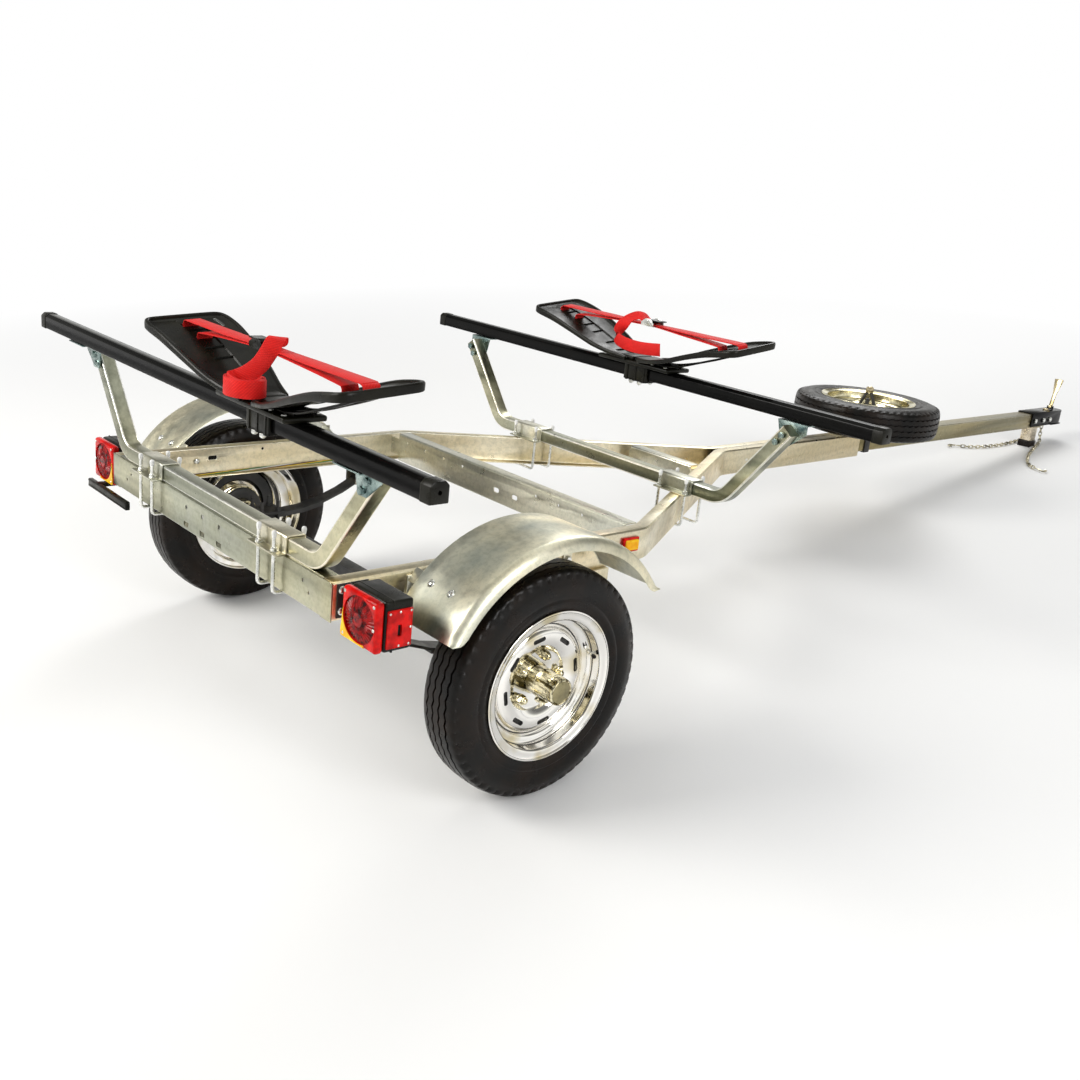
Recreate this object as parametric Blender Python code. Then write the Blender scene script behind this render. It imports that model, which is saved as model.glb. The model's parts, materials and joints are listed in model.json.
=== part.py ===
"""Small boat trailer for kayaks: galvanised frame, leaf-sprung axle, two load bars with saddles.

Metres, +Z up, +Y towards the coupler, +X to the right of someone looking forward.
Most sizes are in the frame's own axes, whose origin is the middle of the axle; the whole
frame then leans nose down until the stand under the coupler reaches the ground.
"""
import bpy
import bmesh
import math
from mathutils import Matrix, Vector

# Clearances
GAP = 0.0003                 # between pieces that touch

# Wheels and tyres
TYRE_RADIUS = 0.265
TYRE_HALF_WIDTH = 0.060
TYRE_STEPS = 24
BEAD_RADIUS = 0.1524
FLANGE_RADIUS = 0.172
RIM_HALF_WIDTH = 0.0575
WELL_RADIUS = 0.128
RIM_WALL = 0.003
DISC_PLATE = 0.004
DISC_CROWN = 0.025           # how far the disc bulges towards the outside
DISC_SEAT = 0.009            # outer face of the disc where the hub bolts on
DISC_SEAT_RADIUS = 0.070
HUB_BORE_RADIUS = 0.034
RIM_STEPS = TYRE_STEPS
WINDOW_COUNT = 8
WINDOW_RADIUS = 0.098
WINDOW_LENGTH = 0.026
WINDOW_WIDTH = 0.009
WINDOW_PHASE = math.radians(5)
TYRE_WALL = 0.009
TYRE_TREAD = 0.014
TYRE_SHOULDER_DROP = 0.007   # radius lost from the tread's edge to the shoulder
TYRE_WIDEST_RADIUS = 0.218
RIM_LIP = 0.004
WELL_INNER = -0.022          # the drop centre's two edges, along the axle
WELL_OUTER = 0.010
TRACK_HALF = 0.669           # frame centre to the middle of a tyre

# Hub
LUG_COUNT = 5
LUG_CIRCLE_RADIUS = 0.057
LUG_RADIUS = 0.006
NUT_RADIUS = 0.0115
NUT_HEIGHT = 0.016
HUB_FLANGE_RADIUS = 0.068
HUB_FLANGE_PLATE = 0.010
HUB_BARREL_RADIUS = 0.034
HUB_BARREL_LENGTH = 0.050
CAP_RADIUS = 0.031
CAP_OUT = 0.092              # end of the hub's cap, out from the middle of the tyre
HUB_STEPS = 12
CAP_STEP = 0.024             # how far the hub's neck stands out of the disc before the cap
CAP_EASE = 0.006

# Axle and springs
AXLE_HALF = 0.020
SPINDLE_RADIUS = 0.016
SPRING_HALF_SPAN = 0.310
SPRING_WIDTH = 0.045
LEAF = 0.007
SPRING_RISE = 0.078          # height of the eyes over the middle of the spring
EYE_RADIUS = 0.016
PIN_RADIUS = 0.007
HELPER_STEPS = 2             # quarters of the long leaf's rising part that the helper follows
TIE_PLATE = 0.008
TIE_HALF_LENGTH = 0.046
TIE_ROD_RADIUS = 0.005
TIE_ROD_STAND = 0.030

# Rails, channel section with the flanges turned inward
RAIL_OUT = 0.529             # frame centre to the outer face of a rail
RAIL_TOP = 0.241
RAIL_HEIGHT = 0.083
RAIL_FLANGE = 0.034
RAIL_WALL = 0.003
RAIL_CORNER = 0.004
FRAME_REAR = -0.432
BEND_REAR = 0.470            # where the rails turn inward
BEND_FRONT = 1.360           # where they run beside the tongue
BEND_RADIUS = 0.100
RAIL_FRONT = 2.150
HANGER_WALL = 0.005
HANGER_LENGTH = 0.050
RAIL_SLOT_Y = (-0.165, -0.150)
RAIL_SLOT_Z = 0.204
RAIL_HOLE = (-0.006, 0.218)

# Crossmembers
CROSS_HEIGHT = 0.085
CROSS_FLANGE = 0.038
CROSS_WALL = 0.003
TAB_HEIGHT = 0.050           # reduced height of a crossmember inside the rails
MIDDLE_Y = 0.434
MIDDLE_COPE = 0.010          # its flanges stop short of the rails, which turn in just ahead
FRONT_CROSS_Y = 1.085
HOLE_RADIUS = 0.006
SMALL_HOLE_RADIUS = 0.0042
HOLE_PITCH = 0.082
HOLE_MIDDLE_X = -0.026       # middle one of the rear channel's three large holes
REAR_HOLE_DROP = 0.028       # holes under the frame's top
REAR_SLOT_DROP = 0.070
REAR_SLOT_HALF = (0.012, 0.006)
LAMP_HOLES = ((0.420, 0.030), (0.445, 0.050))
MIDDLE_HOLES_X = (-0.440, -0.350, -0.260, -0.170, 0.150, 0.240, 0.330)
MIDDLE_HOLE_DROP = 0.022
CABLE_HOLES_X = (-0.013, 0.066)
CABLE_HOLE_DROP = 0.050
FRONT_CROSS_HEIGHT = 0.0765
WELD_LAP = 0.004             # a channel's web past its flanges where it is joined
FRONT_TAB = 0.006

# Tongue, stand and coupler
TONGUE_SIZE = 0.0635
TONGUE_WALL = 0.003
TONGUE_REAR = 1.400
TONGUE_FRONT = 3.660
STAND_SIZE = 0.050
STAND_Y = 3.605
STAND_LENGTH = 0.075
STAND_FLANGE = 0.004
FOOT_HEIGHT = 0.014
FOOT_RIM = 0.003
COUPLER_REAR = 3.530
COUPLER_NOSE = 3.840
COUPLER_WALL = 0.004
COUPLER_DEPTH = 0.062
COUPLER_LIP = 0.008
LEVER_Y = 3.765
LEVER_UP = 0.132
LEVER_LEAN = math.radians(12)
LEVER_FOOT_WIDTH = 0.016
LEVER_GRIP_WIDTH = 0.040
LEVER_PLATE = 0.006
PIVOT_HEIGHT = 0.010
JAW_Y = 3.722
JAW_TRAVEL = 0.008
CHAIN_LUG_Y = 3.690
COUPLER_BOLTS = (0.026, 0.104)
COUPLER_BOLT_HEAD = 0.0095
COUPLER_HEAD_HEIGHT = 0.007
LIP_REAR = 3.715
LEVER_BOSS_RADIUS = 0.0085
LEVER_PIN_RADIUS = 0.0035
JAW_HALF_WIDTH = 0.016
JAW_DEPTH = 0.036
JAW_STEM_HALF = 0.005
JAW_CAP_HEIGHT = 0.006
STAND_FLANGE_LIP = 0.012

# Chains, in level axes: x and y from the axle, z from the ground
CHAIN_WIDTH = 0.016
HOOK_WIRE = 0.0035
HOOK_RADIUS = 0.012
HOOK_SHANK = 0.020
CHAIN_RIGHT_ROUTE = [
    (0.013, 3.6902, 0.0886), (0.013, 3.6875, 0.0606), (0.014, 3.688, 0.0340), (0.019, 3.682, 0.0170),
    (0.027, 3.660, 0.0095),
    (0.040, 3.622, 0.0085), (0.060, 3.552, 0.0085), (0.081, 3.479, 0.0085), (0.103, 3.416, 0.0085),
    (0.128, 3.358, 0.0085), (0.156, 3.304, 0.0085), (0.190, 3.268, 0.0085), (0.230, 3.252, 0.0085),
]
CHAIN_LEFT_ROUTE = [
    (-0.013, 3.6902, 0.0886), (-0.013, 3.6875, 0.0606), (-0.016, 3.689, 0.0340), (-0.024, 3.684, 0.0170),
    (-0.035, 3.662, 0.0095),
    (-0.047, 3.618, 0.0085), (-0.051, 3.550, 0.0085), (-0.060, 3.480, 0.0085), (-0.078, 3.412, 0.0085),
    (-0.106, 3.350, 0.0085), (-0.140, 3.308, 0.0085), (-0.178, 3.288, 0.0085),
]

# Spare wheel, flat over the tongue
SPARE_Y = 2.205
SPARE_LIFT = 0.015           # tyre above the tongue
CARRIER_PLATE = 0.004
CARRIER_HALF = 0.042
CARRIER_POST = 0.030
CARRIER_STEM = 0.060         # end of the carrier's bolt over the spare's disc
CARRIER_LEG_SPREAD = 0.024
CARRIER_LEG_RISE = 0.036
CARRIER_TURN = math.radians(48)
CARRIER_STRAP_HALF = 0.016
CARRIER_BOLT_RADIUS = 0.008
CARRIER_WASHER_RADIUS = 0.048
CARRIER_LEG_HALF = (0.004, 0.009)
CARRIER_LEG_MEET = 0.003     # the bracket's legs nearly meet this far from the bolt's axis

# Supports: a square tube bent up at both ends, one for each load bar
SUPPORT_SIZE = 0.038
SUPPORT_WALL = 0.0025
REAR_SUPPORT_Y = -0.415
FRONT_SUPPORT_Y = 0.824
SUPPORT_BEND_X = 0.468
SUPPORT_SLOPE = math.radians(52)
SUPPORT_BEND_RADIUS = 0.080
SUPPORT_ARM_TOP = 0.488      # height of the arm's end over the axle, on its centre line
CLAMP_X = 0.295
CLAMP_HALF_LENGTH = 0.060
CLAMP_PLATE = 0.004
CLAMP_FOOT = 0.023
ROD_RADIUS = 0.004
ROD_UP = 0.046               # end of a U-bolt over the frame
ROD_SPREAD = 0.032
FRONT_ROD_SPREAD = 0.048
ROD_NUT = 0.0068
ROD_NUT_HEIGHT = 0.006
ROD_BEND = 0.008

# Load bars
BAR_SIZE = 0.038
BAR_LENGTH = 1.770
BAR_CHAMFER = 0.009
BAR_OFFSET = 0.051           # bar centre from support centre, away from the axle
BAR_BOTTOM = 0.5065
BAR_CAP = 0.030
BAR_CAP_PROUD = 0.0012
BAR_CAP_PLATE = 0.004
BAR_CAP_HOLE = 0.004         # drain hole in each cap
BAR_WALL = 0.002
BAR_CAP_EASE = 0.002
BAR_CAP_TAPER = 0.92
BRACKET_PLATE = 0.003
BRACKET_DEPTH = 0.050
BRACKET_BOLT_RADIUS = 0.005
BRACKET_BOLT_HEAD = 0.009
BRACKET_BOLT_PITCH = 0.026
BRACKET_BOLT_BACK = 0.016    # first bolt from the arm's end
BRACKET_INWARD = 0.057       # reach of the bracket's plate to each side of the arm's end
BRACKET_OUTWARD = 0.035
BRACKET_DROP = 0.044
BOLT_HEAD_HEIGHT = 0.006

# Saddles and straps
REAR_SADDLE_X = 0.320
FRONT_SADDLE_X = 0.065
SADDLE_BASE_HALF = 0.138
SADDLE_BASE_DEPTH = 0.048
SADDLE_BASE_PLATE = 0.012
SADDLE_GRIP_HALF = 0.045
SADDLE_GRIP_WALL = 0.008
WING_THICK = 0.010
WING_LINE = [(0.024, 0.0070), (0.080, 0.0170), (0.140, 0.0365), (0.200, 0.0580),
             (0.260, 0.0780), (0.320, 0.0945), (0.370, 0.1035), (0.397, 0.1062)]
WING_HALF_WIDTHS = [0.055, 0.066, 0.077, 0.086, 0.092, 0.095, 0.093, 0.072]
RIB_LINE = [(0.050, 0.0060), (0.110, 0.0095), (0.170, 0.0240), (0.230, 0.0510), (0.272, 0.0760)]
RIB_HALF_WIDTH = 0.018
RIB_THICK = 0.005
WING_ROOT = (0.002, 0.060)
WING_ROOT_HALF = 0.040
WING_ROOT_HEIGHT = 0.014
STRAP_WIDTH = 0.036
STRAP_THICK = 0.002
OUTER_SLOT = 0.350
INNER_SLOT = 0.283
SLOT_LENGTH = 0.007
SLOT_SIDE_CLEARANCE = 0.002
STRAP_OVER = 0.007           # strap over the wing where it leaves a slot
STRAP_BEND = 0.003
TAIL_WIDTH = 0.034
TAIL_THICK = 0.0015
REAR_TAIL_PIECES = 7
FRONT_TAIL_PIECES = 14
REAR_TAIL = [
    (0.006, 0.0, 0.0), (0.020, 0.0, 0.008), (0.029, -0.010, 0.023), (0.025, -0.030, 0.020),
    (0.006, -0.047, -0.010), (-0.010, -0.052, -0.036), (-0.022, -0.050, -0.060),
]
FRONT_TAIL = [
    (-0.006, 0.0, 0.0), (-0.022, 0.0, 0.010), (-0.046, -0.006, 0.014), (-0.070, -0.020, -0.012),
    (-0.082, -0.036, -0.046), (-0.056, -0.042, -0.062), (0.000, -0.043, -0.068),
    (0.050, -0.043, -0.063), (0.098, -0.042, -0.052),
]
BUCKLE_X = -0.020            # on the rear strap; the front one is turned round
BUCKLE_LENGTH = 0.046
BUCKLE_WALL = 0.003
BUCKLE_RISE = 0.016
BUCKLE_STEP = 0.010          # height of the cheeks' low ends
BUCKLE_EAR_HALF = 0.008
CAM_WALL = 0.003
BUCKLE_LEVER_LENGTH = 0.040
BUCKLE_LEVER_PLATE = 0.003
BUCKLE_PIN_RADIUS = 0.003
ROLL_X = -0.010
ROLL_BACK = 0.050            # middle of the rolled tail behind the bar
ROLL_HALF_LENGTH = 0.046
ROLL_HALF_WIDTH = 0.040
ROLL_FLOOR = 0.021           # underside of the roll over the saddle's foot
ROLL_STEPS = 12

# Fenders
FENDER_RADIUS = 0.340
FENDER_SHEET = 0.0025
FENDER_INNER = 0.555
FENDER_OUTER = 0.750
FENDER_LIP = 0.024
FENDER_START = math.radians(33)
FENDER_END = math.radians(152)
FENDER_STEPS = 14
BRACKET_ANGLES = (math.radians(54), math.radians(136.6))
FENDER_ARM_WIDTH = 0.034
FENDER_ARM_REACH = 0.150
FENDER_ARM_PLATE = 0.0045
FENDER_ARM_LAP = 0.0004
FENDER_TAB_PLATE = 0.004
FENDER_TAB_LOW = 0.022       # foot of an arm's tab over the rail's bottom
FENDER_BOLTS = (0.045, 0.110)
FENDER_BOLT_RADIUS = 0.009
FENDER_BOLT_PROUD = 0.004
TAB_BOLT_RADIUS = 0.008
TAB_BOLT_HEIGHT = 0.006

# Lamps
LAMP_INNER = 0.555
LAMP_WIDTH = 0.120
LAMP_HEIGHT = 0.106
LAMP_DEPTH = 0.066
LENS_DEPTH = 0.020
LAMP_REAR = -0.428
LAMP_EAR = 0.003
LAMP_OVER_RAIL = 0.006
LAMP_EASE = 0.004
LENS_EASE = 0.006
LAMP_EAR_Y = (-0.016, 0.056)  # the ear's ends, from the housing's rear face
LAMP_EAR_LOW = 0.024
LAMP_EAR_HIGH = 0.010        # the ear stops this far under the lamp's top
LAMP_BRIDGE_Y = 0.010        # the bridge from the ear to the housing
LAMP_BOLT_RADIUS = 0.0085
LAMP_BOLT_HEIGHT = 0.004
LAMP_BOLT_Y = -0.0045
LAMP_BOLT_LOW = 0.038
LAMP_BOLT_HIGH = 0.023
MARKER_Y = 0.405
MARKER_Z = 0.206
MARKER_LENGTH = 0.052
MARKER_HEIGHT = 0.036
MARKER_DEPTH = 0.014
PLATE_BAR_LENGTH = 0.245
PLATE_BAR_HEIGHT = 0.022
PLATE_BAR_DEPTH = 0.012
PLATE_BAR_BACK = 0.022       # rear face of the plate bar behind the lens
PLATE_BAR_IN = 0.010
PLATE_BAR_UNDER = 0.004
PLATE_HOOK_X = (0.040, 0.070)
PLATE_HOOK_HEIGHT = 0.008
PLATE_HOOK_REACH = 0.030

# Wiring, clipped along the left rail; frame axes
WIRE_RADIUS = 0.004
WIRE_INSET = 0.016           # wiring in from the rail's outer face
WIRE_ROUTE_Y = [-0.400, -0.330, -0.260, -0.190, -0.120, -0.050, 0.020, 0.090, 0.160, 0.230, 0.300, 0.360]
WIRE_WAVES = [0.003, 0.0004, 0.0, 0.0, 0.0, 0.0, 0.0, 0.0, 0.0, 0.0, 0.0004, 0.003]

# Sizes that follow from the ones above
RAIL_BOTTOM = RAIL_TOP - RAIL_HEIGHT
TONGUE_TOP = RAIL_TOP - RAIL_WALL - GAP
TONGUE_BOTTOM = TONGUE_TOP - TONGUE_SIZE
TONGUE_MIDDLE = (TONGUE_TOP + TONGUE_BOTTOM) / 2
RAIL_IN = TONGUE_SIZE / 2 + GAP + RAIL_WALL
SPRING_X = RAIL_OUT - RAIL_FLANGE / 2
SPRING_BASE = AXLE_HALF + GAP
EYE_HEIGHT = SPRING_BASE + LEAF * 1.5 + SPRING_RISE
SUPPORT_MIDDLE = RAIL_TOP + GAP + SUPPORT_SIZE / 2
BAR_MIDDLE = BAR_BOTTOM + BAR_SIZE / 2
BAR_TOP = BAR_BOTTOM + BAR_SIZE
FOOT_BOTTOM = TONGUE_BOTTOM - GAP - STAND_LENGTH - FOOT_HEIGHT
SPARE_MIDDLE = TONGUE_TOP + SPARE_LIFT + TYRE_HALF_WIDTH
HOLE_SIDES = 8
LAMP_TOP = RAIL_TOP + LAMP_OVER_RAIL
LAMP_BOTTOM = LAMP_TOP - LAMP_HEIGHT
TUNNEL = 0.1                 # how far a cutter runs past what it cuts


def nose_down_angle():
    """Lean of the frame with both tyres and the front of the stand's foot on the ground."""
    foot_y = STAND_Y + STAND_SIZE / 2
    reach = math.hypot(foot_y, FOOT_BOTTOM)
    return math.asin(TYRE_RADIUS / reach) + math.atan2(FOOT_BOTTOM, foot_y)


LEAN = nose_down_angle()


def clear_scene():
    """Remove what the file held before."""
    for old in list(bpy.data.objects):
        bpy.data.objects.remove(old, do_unlink=True)


def finish(name, colour, roughness, metallic):
    """A plain material for one piece."""
    material = bpy.data.materials.new(name)
    material.use_nodes = True
    shader = material.node_tree.nodes["Principled BSDF"]
    shader.inputs["Base Color"].default_value = (*colour, 1.0)
    shader.inputs["Roughness"].default_value = roughness
    shader.inputs["Metallic"].default_value = metallic
    material.diffuse_color = (*colour, 1.0)
    return material


FINISHES = {
    "galvanised": ((0.50, 0.51, 0.44), 0.38, 0.9),
    "zinc": ((0.62, 0.58, 0.42), 0.35, 0.9),
    "chrome": ((0.80, 0.80, 0.78), 0.12, 1.0),
    "black_steel": ((0.02, 0.02, 0.02), 0.35, 0.3),
    "rubber": ((0.025, 0.024, 0.022), 0.75, 0.0),
    "plastic": ((0.03, 0.03, 0.03), 0.45, 0.0),
    "saddle": ((0.05, 0.05, 0.035), 0.60, 0.0),
    "strap": ((0.80, 0.03, 0.02), 0.70, 0.0),
    "red_lens": ((0.55, 0.01, 0.01), 0.20, 0.0),
    "amber_lens": ((0.90, 0.55, 0.02), 0.20, 0.0),
    "wire": ((0.60, 0.40, 0.06), 0.50, 0.0),
}


def empty(name, location, parent=None, rotation=(0.0, 0.0, 0.0)):
    """A frame that carries other pieces."""
    frame = bpy.data.objects.new(name, None)
    frame.empty_display_size = 0.1
    frame.location = location
    frame.rotation_euler = rotation
    frame.parent = parent
    bpy.context.scene.collection.objects.link(frame)
    return frame


def piece(name, mesh, kind, parent, location=(0.0, 0.0, 0.0), rotation=(0.0, 0.0, 0.0), smooth=False):
    """One solid of the trailer, placed in its parent's axes."""
    colour, roughness, metallic = FINISHES[kind]
    mesh.name = name
    mesh.materials.clear()
    mesh.materials.append(finish(name, colour, roughness, metallic))
    for polygon in mesh.polygons:
        polygon.material_index = 0
    if smooth:
        mesh.shade_smooth()
        mesh.set_sharp_from_angle(angle=math.radians(35))
    solid = bpy.data.objects.new(name, mesh)
    solid.location = location
    solid.rotation_euler = rotation
    solid.parent = parent
    bpy.context.scene.collection.objects.link(solid)
    return solid


def to_mesh(bm):
    """Close the edit of a solid with its faces turned out."""
    bmesh.ops.recalc_face_normals(bm, faces=bm.faces[:])
    mesh = bpy.data.meshes.new("solid")
    bm.to_mesh(mesh)
    bm.free()
    return mesh


def block(low, high, bevel=0.0):
    """A box between two corners, with its edges bevelled if asked."""
    bm = bmesh.new()
    bmesh.ops.create_cube(bm, size=1.0)
    for vertex in bm.verts:
        for axis in range(3):
            middle = (low[axis] + high[axis]) / 2
            vertex.co[axis] = middle + vertex.co[axis] * (high[axis] - low[axis])
    if bevel > 0:
        bmesh.ops.bevel(bm, geom=bm.edges[:], offset=bevel, segments=1, profile=0.5, affect="EDGES")
    return to_mesh(bm)


def loft(rings, closed_path=False):
    """Skin rings of equal count; open ends get a cap."""
    bm = bmesh.new()
    rows = [[bm.verts.new(point) for point in ring] for ring in rings]
    count = len(rows[0])
    pairs = list(zip(rows, rows[1:]))
    if closed_path:
        pairs.append((rows[-1], rows[0]))
    for near, far in pairs:
        for i in range(count):
            j = (i + 1) % count
            bm.faces.new((near[i], near[j], far[j], far[i]))
    if not closed_path:
        bm.faces.new(rows[0][::-1])
        bm.faces.new(rows[-1])
    return to_mesh(bm)


def prism(outline, low, high, axis="Z"):
    """Push a flat outline along an axis; the outline lies in the other two axes, in order."""
    def place(a, b, c):
        return {"X": (c, a, b), "Y": (a, c, b), "Z": (a, b, c)}[axis]
    return loft([[place(a, b, low) for a, b in outline], [place(a, b, high) for a, b in outline]])


def turned(profile, steps, phase=0.0):
    """Turn a closed profile of (along, radius) points about the X axis."""
    rings = []
    for i in range(steps):
        angle = 2 * math.pi * (i + phase) / steps
        rings.append([(x, radius * math.cos(angle), radius * math.sin(angle)) for x, radius in profile])
    return loft(rings, closed_path=True)


def cylinder(radius, low, high, centre=(0.0, 0.0), axis="Z", sides=HOLE_SIDES, phase=0.5):
    """A rod or disc along an axis."""
    outline = []
    for i in range(sides):
        angle = 2 * math.pi * (i + phase) / sides
        outline.append((centre[0] + radius * math.cos(angle), centre[1] + radius * math.sin(angle)))
    return prism(outline, low, high, axis)


def moved(mesh, matrix):
    """Place a mesh by a matrix, turning it right side out after a mirror."""
    mesh.transform(matrix)
    if matrix.determinant() < 0:
        mesh.flip_normals()
    return mesh


def mirrored(mesh, axis=0):
    """The same piece for the other side."""
    scale = Matrix.Identity(4)
    scale[axis][axis] = -1.0
    return moved(mesh, scale)


def combine(base, tool, operation):
    """Join or cut two closed solids."""
    first = bpy.data.objects.new("base", base)
    second = bpy.data.objects.new("tool", tool)
    collection = bpy.context.scene.collection
    collection.objects.link(first)
    collection.objects.link(second)
    modifier = first.modifiers.new("combine", "BOOLEAN")
    modifier.operation = operation
    modifier.object = second
    modifier.solver = "EXACT"
    graph = bpy.context.evaluated_depsgraph_get()
    graph.update()
    result = bpy.data.meshes.new_from_object(first.evaluated_get(graph))
    bpy.data.objects.remove(first)
    bpy.data.objects.remove(second)
    return result


def fuse(base, *tools):
    """Weld solids into one body."""
    for tool in tools:
        base = combine(base, tool, "UNION")
    return base


def cut(base, *tools):
    """Take solids out of a body."""
    for tool in tools:
        base = combine(base, tool, "DIFFERENCE")
    return base


def smooth_path(points, spacing=None, pieces=None):
    """Points along a smooth curve through the given ones, at a spacing or in a number of even pieces."""
    knots = [Vector(p) for p in points]
    knots = [2 * knots[0] - knots[1]] + knots + [2 * knots[-1] - knots[-2]]
    fine = []
    for i in range(1, len(knots) - 2):
        a, b, c, d = knots[i - 1:i + 3]
        for step in range(24):
            t = step / 24
            fine.append(0.5 * (2 * b + (c - a) * t + (2 * a - 5 * b + 4 * c - d) * t * t
                               + (3 * b - a - 3 * c + d) * t ** 3))
    fine.append(knots[-2])
    total = sum((q - p).length for p, q in zip(fine, fine[1:]))
    count = pieces or max(2, round(total / spacing))
    even = [fine[0]]
    walked = 0.0
    for p, q in zip(fine, fine[1:]):
        length = (q - p).length
        while len(even) < count and walked + length >= total * len(even) / count:
            share = (total * len(even) / count - walked) / length
            even.append(p.lerp(q, share))
        walked += length
    even.append(fine[-1])
    return even


def frames_along(path, closed=False):
    """A side and an up direction at each point of a path, turning as little as possible."""
    count = len(path)
    frames = []
    side = None
    for i in range(count):
        before = path[i - 1] if (i > 0 or closed) else path[i]
        after = path[(i + 1) % count] if (i < count - 1 or closed) else path[i]
        ahead = (after - before).normalized()
        if side is None:
            start = Vector((0.0, 0.0, 1.0)) if abs(ahead.z) < 0.8 else Vector((0.0, 1.0, 0.0))
            side = ahead.cross(start).normalized()
        side = (side - ahead * side.dot(ahead)).normalized()
        frames.append((side, ahead.cross(side)))
    return frames


def rod(path, radius, sides=8):
    """A bent round rod."""
    path = [Vector(p) for p in path]
    rings = []
    for point, (side, up) in zip(path, frames_along(path)):
        ring = []
        for i in range(sides):
            angle = 2 * math.pi * (i + 0.5) / sides
            ring.append(point + side * radius * math.cos(angle) + up * radius * math.sin(angle))
        rings.append(ring)
    return loft(rings)


def cord(name, points, radius, kind, parent, spacing):
    """A cord as a curve with a round bevel, read from a smooth route."""
    curve = bpy.data.curves.new(name, "CURVE")
    curve.dimensions = "3D"
    curve.bevel_depth = radius
    curve.bevel_resolution = 2
    curve.use_fill_caps = True
    path = smooth_path(points, spacing)
    spline = curve.splines.new("POLY")
    spline.points.add(len(path) - 1)
    for target, point in zip(spline.points, path):
        target.co = (*point, 1.0)
    colour, roughness, metallic = FINISHES[kind]
    curve.materials.append(finish(name, colour, roughness, metallic))
    line = bpy.data.objects.new(name, curve)
    line.parent = parent
    bpy.context.scene.collection.objects.link(line)
    return line


def plan_path(corners, radius, steps):
    """A flat path with rounded corners: points and their left-hand normals."""
    points = [Vector(c) for c in corners]
    path = [points[0]]
    for before, corner, after in zip(points, points[1:], points[2:]):
        into = (corner - before).normalized()
        out = (after - corner).normalized()
        turn = into.angle(out)
        if turn < 1e-4:
            continue
        tangent = radius * math.tan(turn / 2)
        start = corner - into * tangent
        inward = (out - into * out.dot(into)).normalized()
        centre = start + inward * radius
        for i in range(steps + 1):
            angle = turn * i / steps
            path.append(centre - inward * radius * math.cos(angle) + into * radius * math.sin(angle))
    path.append(points[-1])
    return path


def path_normals(path):
    """The sideways direction and mitre stretch at each point of a flat path."""
    result = []
    for i, point in enumerate(path):
        into = (point - path[i - 1]).normalized() if i > 0 else None
        out = (path[i + 1] - point).normalized() if i < len(path) - 1 else None
        into = into or out
        out = out or into
        ahead = (into + out).normalized()
        stretch = 1.0 / max(0.2, ahead.dot(into))
        result.append((Vector((-ahead.y, ahead.x)), stretch))
    return result


def channel_section(height, flange, wall, corner):
    """A channel: web at 0, flanges towards plus; (in, down from the top)."""
    return [
        (flange, 0.0), (flange, -wall), (wall, -wall), (wall, -height + wall),
        (flange, -height + wall), (flange, -height), (corner, -height),
        (0.0, -height + corner), (0.0, -corner), (corner, 0.0),
    ]


def rail_outer_path():
    """Outer face of the right rail, seen from above."""
    corners = [
        (RAIL_OUT, FRAME_REAR + CROSS_WALL + GAP), (RAIL_OUT, BEND_REAR),
        (RAIL_IN, BEND_FRONT), (RAIL_IN, RAIL_FRONT),
    ]
    return plan_path(corners, BEND_RADIUS, 3)


def rail_outer_x(y):
    """Where the rail's outer face is at a distance forward, on its straight runs."""
    if y <= BEND_REAR:
        return RAIL_OUT
    if y >= BEND_FRONT:
        return RAIL_IN
    share = (y - BEND_REAR) / (BEND_FRONT - BEND_REAR)
    return RAIL_OUT + (RAIL_IN - RAIL_OUT) * share


def rail_width_across():
    """How wide the slanting rail is, measured straight across the trailer."""
    slant = math.atan2(RAIL_OUT - RAIL_IN, BEND_FRONT - BEND_REAR)
    return RAIL_FLANGE / math.cos(slant)


def hanger_solid(y):
    """A channel under the rail, open below, and the pin that carries one end of the spring."""
    half = SPRING_WIDTH / 2 + GAP
    outside = half + HANGER_WALL
    top = RAIL_BOTTOM + RAIL_WALL / 2
    roof = RAIL_BOTTOM - HANGER_WALL
    low = EYE_HEIGHT - EYE_RADIUS
    outline = [(-outside, low), (-half, low), (-half, roof), (half, roof), (half, low), (outside, low),
               (outside, top), (-outside, top)]
    shell = prism([(SPRING_X + x, z) for x, z in outline], y - HANGER_LENGTH / 2, y + HANGER_LENGTH / 2, "Y")
    pin = cylinder(PIN_RADIUS, SPRING_X - outside - HANGER_WALL, SPRING_X + outside + HANGER_WALL,
                   (y, EYE_HEIGHT), "X", 6)
    return fuse(shell, pin)


def rail_mesh():
    """The right rail with its spring hangers and web holes."""
    section = channel_section(RAIL_HEIGHT, RAIL_FLANGE, RAIL_WALL, RAIL_CORNER)
    path = rail_outer_path()
    rings = []
    for point, (left, stretch) in zip(path, path_normals(path)):
        rings.append([(point.x + left.x * u * stretch, point.y + left.y * u * stretch, RAIL_TOP + v)
                      for u, v in section])
    rail = loft(rings)
    rail = fuse(rail, hanger_solid(SPRING_HALF_SPAN), hanger_solid(-SPRING_HALF_SPAN))
    web_low = RAIL_OUT - 2 * RAIL_WALL
    web_high = RAIL_OUT + RAIL_WALL
    near, far = RAIL_SLOT_Y
    half = HOLE_RADIUS * math.cos(math.pi / HOLE_SIDES)
    slot = fuse(cylinder(HOLE_RADIUS, web_low, web_high, (near, RAIL_SLOT_Z), "X"),
                cylinder(HOLE_RADIUS, web_low, web_high, (far, RAIL_SLOT_Z), "X"),
                block((web_low, near, RAIL_SLOT_Z - half), (web_high, far, RAIL_SLOT_Z + half)))
    hole = cylinder(SMALL_HOLE_RADIUS, web_low, web_high, RAIL_HOLE, "X")
    return cut(rail, slot, hole)


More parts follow.
